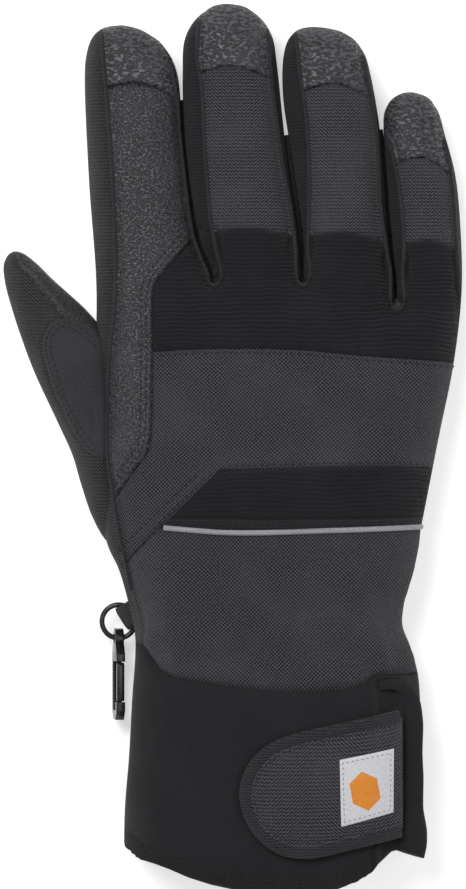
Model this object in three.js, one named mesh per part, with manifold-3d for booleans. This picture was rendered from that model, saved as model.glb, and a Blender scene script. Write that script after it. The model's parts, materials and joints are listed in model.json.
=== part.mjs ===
// Right-hand insulated work glove, lying palm down: fingers along +Y, thumb toward -X, back of the hand up.
// The origin is on the underside of the palm reinforcement, which the glove rests on. Millimetres.
//
// Every layer is an offset of one outer form. The outer skins are the first millimetre, the bonded
// lining (insulation, membrane and fleece) lies under them, and what is left inside is the hand's space.
// The fingers, the thumb and the cuff are cut from the hand across their creases, with a wedge of
// clearance on the side that closes when they bend.

import * as THREE from 'three';
import { LoftGeometry } from 'three/addons/geometries/LoftGeometry.js';
import { mergeVertices } from 'three/addons/utils/BufferGeometryUtils.js';
import Module from 'manifold-3d';

const wasm = await Module();
wasm.setup();

// Layers, measured inward from the outer face.
const CLEARANCE = 0.3;
const SKIN = 1.0;
const LINING = 3.6;
const CUFF_LINING = 1.8;
const SEAM_HEIGHT = 13;
const PATCH_THICKNESS = 0.8;
const PATCH_BASE = PATCH_THICKNESS + CLEARANCE;

// Hand and cuff: one sleeve. Each row is y at the left edge, y at the right edge, left x, right x, top z.
const SLEEVE_ROWS = [
	[-152, -152, -36.5, 64.5, 43],
	[-120, -120, -36.3, 63.8, 43],
	[-90, -90, -34.7, 63.7, 42],
	[-76, -76, -34.2, 61.5, 40],
	[-64, -64, -32.8, 57.5, 38],
	[-52, -52, -35.5, 58.6, 39],
	[-30, -30, -44.5, 63.5, 40],
	[0, 0, -47.2, 70, 39],
	[30, 26, -46.5, 75.5, 35],
	[48, 38, -46.3, 78.2, 32],
	[58, 46, -45, 77.5, 28.5],
];
const SLEEVE_SIDES = 22;
const SLEEVE_SQUARENESS = 2.7;

// Fingers. Each station is x, y, z of the centre, then half-width and half-height.
const FINGERS = [
	{
		name: 'index',
		stations: [[-26.4, 36, 15.5, 18.5, 13.6], [-29.6, 76, 15.2, 18, 13.4], [-34, 118, 13.8, 16.4, 12.4]],
		tip: [-37, 142.5, 12.8],
		crease: 68,
		knuckle: 97,
	},
	{
		name: 'middle',
		stations: [[10.1, 36, 15.5, 14.5, 13.6], [5.4, 76, 15.2, 15, 13.4], [-0.3, 122, 13.8, 15.9, 12.4]],
		tip: [-1.2, 150.3, 12.8],
		crease: 68,
		knuckle: 101,
	},
	{
		name: 'ring',
		stations: [[40.4, 32, 15.5, 14.3, 13.6], [37.2, 78, 15.2, 15, 13.4], [33, 116, 13.8, 15.6, 12.4]],
		tip: [28.5, 142.5, 12.8],
		crease: 68,
		knuckle: 97,
	},
	{
		name: 'little',
		stations: [[67.2, 26, 14.6, 10.4, 12.6], [65.8, 76, 13.8, 11, 12], [62.8, 102, 12.6, 11.6, 11.2]],
		tip: [60, 120, 11.8],
		crease: 60,
		knuckle: 84,
	},
];
const FINGER_SIDES = 12;
const FINGER_SQUARENESS = 2.4;
const FINGER_PIVOT_HEIGHT = 13;
const CREASE_BEND = 60;
const KNUCKLE_BEND = 75;
const SPARE_BEND = 1.5;

// Thumb, with stations as above, square to its own line.
const THUMB_STATIONS = [
	[-29, -22, 19, 9, 9],
	[-41, 3, 16, 15, 13],
	[-49.4, 18.5, 16, 14, 13],
	[-57.7, 38.1, 15, 11.8, 12],
	[-66.5, 53, 14, 9, 11],
];
const THUMB_TIP = [-74.6, 66.4, 13];
const THUMB_CREASE = [-57.7, 38.1, 14];
const THUMB_BEND = 45;

// Wrist.
const WRIST_Y = -66;
const WRIST_PIVOT_HEIGHT = 20;
const WRIST_BEND = 25;

// Closing strap on the back of the cuff: layers above the cuff's outer face.
const STRAP_ROOT_X = 57.4;
const LOOP_TAPE = [0.3, 1.1];
const HOOK_TAPE = [1.4, 2.2];
const STRAP_PANEL = [2.5, 3.9];
const STRAP_EDGE = [2.3, 4.3];
const LABEL = [4.2, 4.8];

// Carry clip: webbing loop on the side seam, ring through it, snap hook on the ring.
const CLIP_HEIGHT = 10;
const RING_CENTRE = [-38.8, -60];
const RING_RADIUS = 5.7;
const RING_WIRE_RADIUS = 0.9;
const WEBBING_OUTWARD_ANGLE = THREE.MathUtils.degToRad(212.2);
const WEBBING_WIDTH = 8.4;
const WEBBING_THICKNESS = 0.9;
const WEBBING_GAP = 3.8;
const HOOK_THICKNESS = 3;
const HOOK_EYE_Y = RING_CENTRE[1] - RING_RADIUS;
const HOOK_EYE_RADIUS = 3.4;
const HOOK_EYE_BORE = 1.7;
const HOOK_END_Y = -93.5;
const HOOK_HALF_HEIGHT = 5.9;
const HOOK_ARM = 2.6;
const GATE_THICKNESS = 2.4;
const GATE_PIVOT_Y = -75;
const GATE_END_Y = -87;

// Reflective piping across the back.
const PIPING_RADIUS = 0.95;

const CUTTER_HEIGHT = 60;
const CURVE_STEPS = 3;
const CUTTER_REACH = 400;

// ---- solids -------------------------------------------------------------------------------------

function toSolid(geometry) {
	const plain = new THREE.BufferGeometry();
	plain.setAttribute('position', geometry.getAttribute('position'));
	plain.setIndex(geometry.getIndex());
	const merged = mergeVertices(plain, 1e-5);
	const index = merged.index.array;
	const kept = [];
	for (let i = 0; i < index.length; i += 3) {
		const corners = [index[i], index[i + 1], index[i + 2]];
		if (new Set(corners).size === 3) {
			kept.push(...corners);
		}
	}
	return new wasm.Manifold(new wasm.Mesh({
		numProp: 3,
		vertProperties: new Float32Array(merged.attributes.position.array),
		triVerts: new Uint32Array(kept),
	}));
}

function toGeometry(solid) {
	const mesh = solid.getMesh();
	const geometry = new THREE.BufferGeometry();
	geometry.setAttribute('position', new THREE.BufferAttribute(new Float32Array(mesh.vertProperties), 3));
	geometry.setIndex(new THREE.BufferAttribute(new Uint32Array(mesh.triVerts), 1));
	geometry.computeVertexNormals();
	return geometry;
}

// An outline in the ground plane, raised to a block that cuts right through the glove.
function column(shape, bottom = -10, top = CUTTER_HEIGHT) {
	const geometry = new THREE.ExtrudeGeometry(shape, {
		depth: top - bottom,
		bevelEnabled: false,
		curveSegments: CURVE_STEPS,
	});
	geometry.translate(0, 0, bottom);
	return toSolid(geometry);
}

function outline(points) {
	return new THREE.Shape(points.map(([x, y]) => new THREE.Vector2(x, y)));
}

function smoothOutline(points) {
	const shape = new THREE.Shape();
	shape.moveTo(...points[0]);
	shape.splineThru(points.slice(1).map(([x, y]) => new THREE.Vector2(x, y)));
	shape.closePath();
	return shape;
}

function block(minimum, maximum) {
	const low = new THREE.Vector3(...minimum);
	const high = new THREE.Vector3(...maximum);
	const size = high.clone().sub(low);
	const geometry = new THREE.BoxGeometry(size.x, size.y, size.z);
	const centre = low.add(high).multiplyScalar(0.5);
	geometry.translate(centre.x, centre.y, centre.z);
	return toSolid(geometry);
}

// ---- outer form ---------------------------------------------------------------------------------

// One closed ring of a rounded-box section. reach is the half-width as a vector, rise the half-height.
function ring({ at, reach, rise }, sides, squareness) {
	const points = [];
	for (let i = 0; i < sides; i += 1) {
		const angle = (i + 0.5) / sides * Math.PI * 2;
		const across = Math.sign(Math.cos(angle)) * Math.abs(Math.cos(angle)) ** (2 / squareness);
		const up = Math.sign(Math.sin(angle)) * Math.abs(Math.sin(angle)) ** (2 / squareness);
		const point = at.clone().addScaledVector(reach, -across);
		point.z += rise * up;
		points.push(point);
	}
	return points;
}

function grown(section, grow) {
	const reach = section.reach.clone().setLength(section.reach.length() + grow);
	return { at: section.at, reach, rise: section.rise + grow };
}

function loft(sections, sides, squareness) {
	const rings = sections.map((section) => ring(section, sides, squareness));
	return toSolid(new LoftGeometry(rings, { capStart: true, capEnd: true }));
}

function sleeve(grow) {
	const sections = SLEEVE_ROWS.map(([yLeft, yRight, left, right, top]) => {
		const at = new THREE.Vector3((left + right) / 2, (yLeft + yRight) / 2, (top + PATCH_BASE) / 2);
		const reach = new THREE.Vector3((right - left) / 2, (yRight - yLeft) / 2, 0);
		return grown({ at, reach, rise: (top - PATCH_BASE) / 2 }, grow);
	});
	sections[sections.length - 1].at.y += grow;
	return loft(sections, SLEEVE_SIDES, SLEEVE_SQUARENESS);
}

// A closed tube with a rounded tip through the stations; turned sections stand square to its line.
function digit(stations, tip, grow, turned) {
	const points = stations.map(([x, y, z]) => new THREE.Vector3(x, y, z));
	const end = new THREE.Vector3(...tip);
	const sections = stations.map(([, , , halfWidth, halfHeight], i) => {
		const next = points[i + 1] ?? end;
		const heading = next.clone().sub(points[Math.max(i - 1, 0)]).setZ(0).normalize();
		const across = turned ? new THREE.Vector3(heading.y, -heading.x, 0) : new THREE.Vector3(1, 0, 0);
		return { at: points[i], reach: across.multiplyScalar(halfWidth), rise: halfHeight };
	});
	const last = sections[sections.length - 1];
	const run = end.clone().sub(last.at);
	const flatShare = Math.max(0, 1 - last.rise * 1.1 / run.length());
	const tipStart = last.at.clone().addScaledVector(run, flatShare);
	const tipRun = run.clone().multiplyScalar(1 - flatShare);
	tipRun.setLength(tipRun.length() + grow);
	const body = sections.map((section) => grown(section, grow));
	const entry = points[1].clone().sub(points[0]).normalize();
	body[0].at = points[0].clone().addScaledVector(entry, -grow);
	const full = grown(last, grow);
	for (const degrees of [0, 45, 80]) {
		if (degrees === 0 && flatShare === 0) {
			continue;
		}
		const angle = THREE.MathUtils.degToRad(degrees);
		body.push({
			at: tipStart.clone().addScaledVector(tipRun, Math.sin(angle)),
			reach: full.reach.clone().multiplyScalar(Math.cos(angle)),
			rise: full.rise * Math.cos(angle),
		});
	}
	return loft(body, FINGER_SIDES, FINGER_SQUARENESS);
}

function fingerForm(finger, grow) {
	return digit(finger.stations, finger.tip, grow, false);
}

function thumbForm(grow) {
	return digit(THUMB_STATIONS, THUMB_TIP, grow, true);
}

function handForm(grow) {
	let form = sleeve(grow).add(thumbForm(grow));
	for (const finger of FINGERS) {
		form = form.add(fingerForm(finger, grow));
	}
	return form;
}

// ---- creases ------------------------------------------------------------------------------------

// A wedge whose edge lies on the pivot and which opens downward, or upward when flipped.
function wedge(pivot, heading, bend, from, to, flipped = false) {
	const spread = Math.tan(THREE.MathUtils.degToRad(bend / 2 + SPARE_BEND)) * CUTTER_HEIGHT;
	const side = flipped ? 1 : -1;
	const slit = CLEARANCE;
	const far = side * CUTTER_HEIGHT;
	const profile = outline([[-slit, 0], [slit, 0], [spread + slit, far], [-spread - slit, far]]);
	const geometry = new THREE.ExtrudeGeometry(profile, { depth: to - from, bevelEnabled: false });
	const forward = new THREE.Vector3(heading.x, heading.y, 0).normalize();
	const up = new THREE.Vector3(0, 0, 1);
	const across = forward.clone().cross(up);
	const place = new THREE.Matrix4().makeBasis(forward, up, across);
	geometry.applyMatrix4(place);
	geometry.translate(
		pivot[0] + across.x * from,
		pivot[1] + across.y * from,
		pivot[2],
	);
	return toSolid(geometry);
}

const ALONG_Y = { x: 0, y: 1 };
const LITTLE_X = 54.4;
const FAR = CUTTER_REACH;
const thumbTip = new THREE.Vector3(...THUMB_TIP);
const thumbLine = thumbTip.clone().sub(new THREE.Vector3(...THUMB_CREASE)).setZ(0).normalize();

// The half of space past the thumb's crease, started short of it or past it by the clearance.
function pastThumbCrease(offset) {
	const geometry = new THREE.BoxGeometry(30, 60, CUTTER_HEIGHT * 2);
	geometry.translate(0, 30 + offset, 0);
	geometry.rotateZ(Math.atan2(-thumbLine.x, thumbLine.y));
	geometry.translate(THUMB_CREASE[0], THUMB_CREASE[1], THUMB_CREASE[2]);
	return toSolid(geometry);
}

const mainCrease = FINGERS[0].crease;
const littleCrease = FINGERS[3].crease;
const handCreases = [
	block([-FAR, mainCrease - CLEARANCE, -FAR], [LITTLE_X, FAR, FAR]),
	block([LITTLE_X, littleCrease - CLEARANCE, -FAR], [FAR, FAR, FAR]),
	block([-FAR, -FAR, -FAR], [FAR, WRIST_Y + CLEARANCE, FAR]),
	wedge([0, mainCrease, FINGER_PIVOT_HEIGHT], ALONG_Y, CREASE_BEND, -60, LITTLE_X),
	wedge([0, littleCrease, FINGER_PIVOT_HEIGHT], ALONG_Y, CREASE_BEND, LITTLE_X, 90),
	wedge([0, WRIST_Y, WRIST_PIVOT_HEIGHT], ALONG_Y, WRIST_BEND, -90, 90),
	wedge([0, WRIST_Y, WRIST_PIVOT_HEIGHT], ALONG_Y, WRIST_BEND, -90, 90, true),
	pastThumbCrease(-CLEARANCE),
	wedge(THUMB_CREASE, thumbLine, THUMB_BEND, -14, 14),
];

function withoutAll(solid, cutters) {
	let left = solid;
	for (const cutter of cutters) {
		left = left.subtract(cutter);
	}
	return left;
}

// ---- layers -------------------------------------------------------------------------------------

const outer = handForm(0);
const underSkin = handForm(-SKIN);
const liningOuter = handForm(-SKIN - CLEARANCE);
const liningInner = handForm(-SKIN - CLEARANCE - LINING);
const handSkin = withoutAll(outer.subtract(underSkin), handCreases);
const handLining = withoutAll(liningOuter.subtract(liningInner), handCreases);

const backSide = block([-FAR, -FAR, SEAM_HEIGHT + CLEARANCE / 2], [FAR, FAR, FAR]);
const palmSide = block([-FAR, -FAR, -FAR], [FAR, FAR, SEAM_HEIGHT - CLEARANCE / 2]);

// ---- scene --------------------------------------------------------------------------------------

const glove = new THREE.Group();

function addPiece(parent, name, solid, look) {
	const material = new THREE.MeshStandardMaterial({ ...look, metalness: 0 });
	const mesh = new THREE.Mesh(toGeometry(solid), material);
	mesh.name = name;
	parent.add(mesh);
	return mesh;
}

const LOOKS = {
	leather: { color: 0x414045, roughness: 0.62 },
	capLeather: { color: 0x49474c, roughness: 0.7 },
	canvas: { color: 0x38373c, roughness: 0.92 },
	twill: { color: 0x3a393e, roughness: 0.9 },
	rib: { color: 0x252429, roughness: 0.95 },
	sideFabric: { color: 0x232227, roughness: 0.95 },
	neoprene: { color: 0x2b2a2c, roughness: 0.8 },
	lining: { color: 0x302f33, roughness: 1 },
	tape: { color: 0x1c1c1e, roughness: 1 },
	binding: { color: 0x262528, roughness: 0.85 },
	reflective: { color: 0x9a9a9c, roughness: 0.4 },
	label: { color: 0xd2d0cd, roughness: 0.8 },
	plastic: { color: 0x17171a, roughness: 0.35 },
};

// ---- hand ---------------------------------------------------------------------------------------

const hand = new THREE.Group();
glove.add(hand);

// Seams on the back, left to right and top to bottom. The hairline is half the clearance at a seam.
const SEAM = CLEARANCE / 2 + 0.02;
const LEATHER_EDGE_X = -26.8;
const SIDE_SEAM_X = -41;
const BAND_TOP_Y = 32;
const RIB_TOP_Y = -8;
const PIPING_Y = -28;
const LEG_TOP_X = -4;
const LEG_END_Y = -41.4;
const PIPING_SLOT = PIPING_RADIUS + 0.25;

// A point on the band's slanting leg at a height, moved to the right of the seam or to the left of it.
const LEG_SLOPE = 1.02;

function onLeg(y, side) {
	return [LEG_TOP_X + (y - RIB_TOP_Y) * LEG_SLOPE + side * SEAM * Math.SQRT2, y];
}

const leatherRegion = outline([
	[SIDE_SEAM_X + SEAM, 80], [-8.9 - SEAM, 80], [-8.9 - SEAM, 68], [LEATHER_EDGE_X - SEAM, 54],
	[LEATHER_EDGE_X - SEAM, 0], [SIDE_SEAM_X + SEAM, -19],
]);
const knuckleRegion = outline([
	[LEATHER_EDGE_X + SEAM, BAND_TOP_Y + SEAM], [LEATHER_EDGE_X + SEAM, 53.6], [-8.9 + SEAM, 67.5],
	[-8.9 + SEAM, 80], [90, 80], [90, BAND_TOP_Y - 4 + SEAM],
]);
const bandRegion = outline([
	[LEATHER_EDGE_X + SEAM, BAND_TOP_Y - SEAM], [90, BAND_TOP_Y - 4 - SEAM], [90, RIB_TOP_Y + SEAM],
	onLeg(RIB_TOP_Y + SEAM, -1), onLeg(LEG_END_Y, -1), [-43, LEG_END_Y],
	[SIDE_SEAM_X + SEAM, -19.6], [LEATHER_EDGE_X + SEAM, -0.8],
]);
const wristRibRegion = outline([
	onLeg(RIB_TOP_Y - SEAM, 1), [90, RIB_TOP_Y - SEAM],
	[90, PIPING_Y + PIPING_SLOT], onLeg(PIPING_Y + PIPING_SLOT, 1),
]);
const lowerBackRegion = outline([
	onLeg(PIPING_Y - PIPING_SLOT, 1), [90, PIPING_Y - PIPING_SLOT], [90, -80], [-60, -80],
	[-60, LEG_END_Y - CLEARANCE], onLeg(LEG_END_Y - CLEARANCE, 1),
]);
const sideRegion = outline([
	[-90, 90], [SIDE_SEAM_X - SEAM, 90], [SIDE_SEAM_X - SEAM, -19.4], [-43.3, LEG_END_Y], [-90, LEG_END_Y],
]);

// The oval patch in the fork of the thumb, turned along the thumb, and the hole it lies in.
const THUMB_PATCH = { x: -52.4, y: 20, halfWidth: 7.8, halfLength: 22.5, turn: 0.36 };

function thumbPatchColumn(grow) {
	const { x, y, halfWidth, halfLength, turn } = THUMB_PATCH;
	const shape = new THREE.Shape();
	shape.absellipse(x, y, halfWidth + grow, halfLength + grow, 0, Math.PI * 2, false, turn);
	return column(shape);
}

const handBack = handSkin.intersect(backSide);
const handSide = handBack.intersect(column(sideRegion));

addPiece(hand, 'hand_lining', handLining, LOOKS.lining);
addPiece(hand, 'palm_panel', handSkin.intersect(palmSide), LOOKS.leather);
addPiece(hand, 'index_leather_panel', handBack.intersect(column(leatherRegion)), LOOKS.leather);
addPiece(hand, 'knuckle_rib_panel', handBack.intersect(column(knuckleRegion)), LOOKS.rib);
addPiece(hand, 'back_band_panel', handBack.intersect(column(bandRegion)), LOOKS.canvas);
addPiece(hand, 'wrist_rib_panel', handBack.intersect(column(wristRibRegion)), LOOKS.rib);
addPiece(hand, 'lower_back_panel', handBack.intersect(column(lowerBackRegion)), LOOKS.canvas);
addPiece(hand, 'thumb_base_panel', handSide.subtract(thumbPatchColumn(CLEARANCE)), LOOKS.canvas);
addPiece(hand, 'thumb_patch', handSide.intersect(thumbPatchColumn(0)), LOOKS.twill);

// The reinforcement is a flat plate under the palm, with rounded corners.
const palmPatch = smoothOutline([
	[-30, -34], [15, -38], [52, -30], [60, 0], [56, 34], [20, 44], [-24, 42], [-36, 10], [-30, -34],
]);
addPiece(hand, 'palm_patch', column(palmPatch, 0, PATCH_THICKNESS), LOOKS.capLeather);

// Piping: a round cord laid in the seam, following the back's curve from side to side.
function pipingSolid() {
	const high = handForm(PIPING_RADIUS + CLEARANCE * 0.5);
	const low = handForm(-SKIN);
	const [leftEnd] = onLeg(PIPING_Y + PIPING_RADIUS, 2);
	const strip = outline([
		[leftEnd, PIPING_Y - PIPING_RADIUS], [90, PIPING_Y - PIPING_RADIUS],
		[90, PIPING_Y + PIPING_RADIUS], [leftEnd, PIPING_Y + PIPING_RADIUS],
	]);
	return high.subtract(low).intersect(column(strip)).intersect(backSide);
}
addPiece(hand, 'reflective_piping', pipingSolid(), LOOKS.reflective);

// ---- fingers ------------------------------------------------------------------------------------

const CAP_LENGTH = 22;

function fingerPieces(finger) {
	const skin = fingerForm(finger, 0).subtract(fingerForm(finger, -SKIN));
	const lining = fingerForm(finger, -SKIN - CLEARANCE)
		.subtract(fingerForm(finger, -SKIN - CLEARANCE - LINING));
	const cutters = [
		wedge([0, finger.crease, FINGER_PIVOT_HEIGHT], ALONG_Y, CREASE_BEND, -CUTTER_REACH, CUTTER_REACH),
		wedge([0, finger.knuckle, FINGER_PIVOT_HEIGHT], ALONG_Y, KNUCKLE_BEND, -CUTTER_REACH, CUTTER_REACH),
	];
	const firstSpan = block(
		[-FAR, finger.crease + CLEARANCE, -FAR],
		[FAR, finger.knuckle - CLEARANCE, FAR],
	);
	const lastSpan = block([-FAR, finger.knuckle + CLEARANCE, -FAR], [FAR, FAR, FAR]);
	const first = new THREE.Group();
	const last = new THREE.Group();
	glove.add(first, last);

	const firstSkin = withoutAll(skin.intersect(firstSpan), cutters);
	const lastSkin = withoutAll(skin.intersect(lastSpan), cutters);
	const back = finger.name === 'index' ? LOOKS.leather : LOOKS.twill;
	const firstLining = withoutAll(lining.intersect(firstSpan), cutters);
	const lastLining = withoutAll(lining.intersect(lastSpan), cutters);
	addPiece(first, `${finger.name}_base_lining`, firstLining, LOOKS.lining);
	addPiece(first, `${finger.name}_base_back`, firstSkin.intersect(backSide), back);
	addPiece(first, `${finger.name}_base_palm`, firstSkin.intersect(palmSide), LOOKS.sideFabric);

	const capY = finger.tip[1] - CAP_LENGTH;
	const capSpan = block([-FAR, capY + CLEARANCE / 2, -FAR], [FAR, FAR, FAR]);
	const backSpan = block([-FAR, -FAR, -FAR], [FAR, capY - CLEARANCE / 2, FAR]);
	addPiece(last, `${finger.name}_tip_lining`, lastLining, LOOKS.lining);
	addPiece(last, `${finger.name}_tip_back`, lastSkin.intersect(backSide).intersect(backSpan), back);
	addPiece(last, `${finger.name}_cap`, lastSkin.intersect(backSide).intersect(capSpan), LOOKS.capLeather);
	addPiece(last, `${finger.name}_tip_palm`, lastSkin.intersect(palmSide), LOOKS.sideFabric);
}

for (const finger of FINGERS) {
	fingerPieces(finger);
}

// ---- thumb --------------------------------------------------------------------------------------

const thumb = new THREE.Group();
glove.add(thumb);
const thumbSpan = pastThumbCrease(CLEARANCE);
const thumbWedge = wedge(THUMB_CREASE, thumbLine, THUMB_BEND, -30, 30);
const thumbSkin = thumbForm(0).subtract(thumbForm(-SKIN)).intersect(thumbSpan).subtract(thumbWedge);
const thumbLining = thumbForm(-SKIN - CLEARANCE).subtract(thumbForm(-SKIN - CLEARANCE - LINING))
	.intersect(thumbSpan).subtract(thumbWedge);
addPiece(thumb, 'thumb_tip_lining', thumbLining, LOOKS.lining);
addPiece(thumb, 'thumb_tip_back', thumbSkin.intersect(backSide), LOOKS.twill);
addPiece(thumb, 'thumb_tip_palm', thumbSkin.intersect(palmSide), LOOKS.leather);

// ---- cuff ---------------------------------------------------------------------------------------

const cuff = new THREE.Group();
glove.add(cuff);

const GUSSET_X = 47;
const HEM_WIDTH = 6;

// The cuff's mouth, whose edge bows down in the middle of the back.
const MOUTH_EDGE = [
	[-90, -128], [-36, -135.5], [-14, -144.5], [12, -149.4], [34, -148.4], [53, -139.5], [90, -139.5],
];

// Everything on the hand's side of the mouth, raised by a lift.
function aboveMouth(lift) {
	const [first, ...rest] = MOUTH_EDGE.map(([x, y]) => new THREE.Vector2(x, y + lift));
	const shape = new THREE.Shape();
	shape.moveTo(first.x, 0);
	shape.lineTo(first.x, first.y);
	shape.splineThru(rest);
	shape.lineTo(rest[rest.length - 1].x, 0);
	return column(shape);
}

const cuffCreases = [
	block([-FAR, WRIST_Y - CLEARANCE, -FAR], [FAR, FAR, FAR]),
	wedge([0, WRIST_Y, WRIST_PIVOT_HEIGHT], ALONG_Y, WRIST_BEND, -90, 90),
	wedge([0, WRIST_Y, WRIST_PIVOT_HEIGHT], ALONG_Y, WRIST_BEND, -90, 90, true),
];
const cuffSkin = withoutAll(sleeve(0).subtract(sleeve(-SKIN)), cuffCreases).intersect(aboveMouth(0));
const cuffLiningSolid = withoutAll(
	sleeve(-SKIN - CLEARANCE).subtract(sleeve(-SKIN - CLEARANCE - CUFF_LINING)),
	cuffCreases,
).intersect(aboveMouth(1));
const cuffBody = cuffSkin.intersect(aboveMouth(HEM_WIDTH + CLEARANCE));
const leftOfGusset = block([-FAR, -FAR, -FAR], [GUSSET_X - CLEARANCE / 2, FAR, FAR]);
const rightOfGusset = block([GUSSET_X + CLEARANCE / 2, -FAR, -FAR], [FAR, FAR, FAR]);
addPiece(cuff, 'cuff_lining', cuffLiningSolid, LOOKS.lining);
addPiece(cuff, 'cuff_back_panel', cuffBody.intersect(backSide).intersect(leftOfGusset), LOOKS.neoprene);
addPiece(cuff, 'cuff_gusset', cuffBody.intersect(backSide).intersect(rightOfGusset), LOOKS.neoprene);
addPiece(cuff, 'cuff_palm_panel', cuffBody.intersect(palmSide), LOOKS.neoprene);
addPiece(cuff, 'cuff_hem_binding', cuffSkin.subtract(aboveMouth(HEM_WIDTH)), LOOKS.binding);

// A patch that follows the cuff's face, between two heights above it.
function onCuff([low, high], shape) {
	return sleeve(high).subtract(sleeve(low)).intersect(column(shape)).intersect(backSide);
}

const loopTapeShape = outline([[12, -103], [44, -98], [44, -128], [16, -130]]);
addPiece(cuff, 'loop_tape', onCuff(LOOP_TAPE, loopTapeShape), LOOKS.tape);

// ---- strap --------------------------------------------------------------------------------------

const strap = new THREE.Group();
glove.add(strap);

// The strap's outline, drawn in from its outer edge by an inset.
function strapShape(inset) {
	const shape = new THREE.Shape();
	shape.moveTo(STRAP_ROOT_X, -88.6 - inset);
	shape.lineTo(18, -97.2 - inset);
	shape.splineThru([
		new THREE.Vector2(8.5 + inset * 0.7, -103.5 - inset * 0.7),
		new THREE.Vector2(2.6 + inset, -117),
		new THREE.Vector2(7.5 + inset * 0.7, -130 + inset * 0.7),
		new THREE.Vector2(20, -137.2 + inset),
	]);
	shape.lineTo(STRAP_ROOT_X, -130.4 + inset);
	return shape;
}

const STRAP_EDGE_WIDTH = 4;
const strapHole = column(strapShape(STRAP_EDGE_WIDTH));
const strapInner = column(strapShape(STRAP_EDGE_WIDTH + CLEARANCE));
const strapField = sleeve(STRAP_PANEL[1]).subtract(sleeve(STRAP_PANEL[0])).intersect(backSide);
addPiece(strap, 'strap_panel', strapField.intersect(strapInner), LOOKS.canvas);
addPiece(
	strap,
	'strap_binding',
	onCuff(STRAP_EDGE, strapShape(0)).subtract(strapHole),
	LOOKS.binding,
);
const HOOK_TAPE_INSET = 9;
addPiece(
	strap,
	'hook_tape',
	onCuff(HOOK_TAPE, strapShape(HOOK_TAPE_INSET)).intersect(leftOfGusset),
	LOOKS.tape,
);
const labelShape = outline([[36, -105], [54, -101.5], [54, -122.7], [36.4, -127]]);
addPiece(strap, 'label', onCuff(LABEL, labelShape), LOOKS.label);

// ---- carry clip ---------------------------------------------------------------------------------

// Webbing: a folded strap whose legs end at the side seam and whose fold holds the ring.
function webbingSolid() {
	const half = WEBBING_GAP / 2;
	const foldInside = 3.9;
	const foldOutside = foldInside + WEBBING_THICKNESS;
	const sewnEnd = -9;
	const profile = outline([
		[sewnEnd, half], [sewnEnd, half + WEBBING_THICKNESS],
		[foldOutside - 1, half + WEBBING_THICKNESS], [foldOutside, half], [foldOutside, -half],
		[foldOutside - 1, -half - WEBBING_THICKNESS], [sewnEnd, -half - WEBBING_THICKNESS],
		[sewnEnd, -half], [foldInside, -half], [foldInside, half],
	]);
	const geometry = new THREE.ExtrudeGeometry(profile, { depth: WEBBING_WIDTH, bevelEnabled: false });
	geometry.translate(0, 0, -WEBBING_WIDTH / 2);
	geometry.rotateX(Math.PI / 2);
	geometry.rotateZ(WEBBING_OUTWARD_ANGLE);
	geometry.translate(
		RING_CENTRE[0] - Math.cos(WEBBING_OUTWARD_ANGLE) * RING_RADIUS,
		RING_CENTRE[1] - Math.sin(WEBBING_OUTWARD_ANGLE) * RING_RADIUS,
		CLIP_HEIGHT,
	);
	return toSolid(geometry).subtract(handForm(CLEARANCE));
}
addPiece(hand, 'webbing_loop', webbingSolid(), LOOKS.binding);

const ringGroup = new THREE.Group();
ringGroup.position.set(RING_CENTRE[0], RING_CENTRE[1], CLIP_HEIGHT);
glove.add(ringGroup);
const ringGeometry = new THREE.TorusGeometry(RING_RADIUS, RING_WIRE_RADIUS, 8, 20);
addPiece(ringGroup, 'clip_ring', toSolid(ringGeometry), LOOKS.plastic);

// The snap hook stands on edge: its outline is drawn in the YZ plane, with z measured from the eye.
function acrossX(shape, thickness) {
	const geometry = new THREE.ExtrudeGeometry(shape, { depth: thickness, bevelEnabled: false, curveSegments: 6 });
	geometry.translate(0, 0, -thickness / 2);
	geometry.rotateX(Math.PI / 2);
	geometry.rotateZ(Math.PI / 2);
	return toSolid(geometry);
}

function hookFrameSolid() {
	const top = HOOK_HALF_HEIGHT;
	const shoulder = GATE_PIVOT_Y + GATE_THICKNESS / 2 + CLEARANCE - HOOK_EYE_Y;
	const nose = GATE_END_Y - CLEARANCE - HOOK_EYE_Y;
	const end = HOOK_END_Y - HOOK_EYE_Y;
	const inner = end + HOOK_ARM + 0.6;
	const frame = outline([
		[-2, -HOOK_EYE_RADIUS], [-2, HOOK_EYE_RADIUS], [shoulder + 2.5, top], [shoulder, top],
		[shoulder, -top + HOOK_ARM], [inner, -top + HOOK_ARM], [inner, top - HOOK_ARM],
		[nose, top - HOOK_ARM],
		[nose, top], [end + 3, top], [end, top - 3], [end, -top + 3], [end + 3, -top], [shoulder + 2.5, -top],
	]);
	const eye = new THREE.Shape();
	eye.absarc(0, 0, HOOK_EYE_RADIUS, 0, Math.PI * 2);
	const bore = new THREE.Shape();
	bore.absarc(0, 0, HOOK_EYE_BORE, 0, Math.PI * 2);
	return acrossX(frame, HOOK_THICKNESS)
		.add(acrossX(eye, HOOK_THICKNESS))
		.subtract(acrossX(bore, HOOK_THICKNESS * 2));
}

// The gate closes the hook's mouth. Its rounded root turns in the shoulder.
function gateSolid() {
	const half = GATE_THICKNESS / 2;
	const shape = new THREE.Shape();
	shape.absarc(0, 0, half, -Math.PI / 2, Math.PI / 2);
	shape.lineTo(GATE_END_Y - GATE_PIVOT_Y, half);
	shape.lineTo(GATE_END_Y - GATE_PIVOT_Y, -half);
	return acrossX(shape, HOOK_THICKNESS - 0.4);
}

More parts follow.
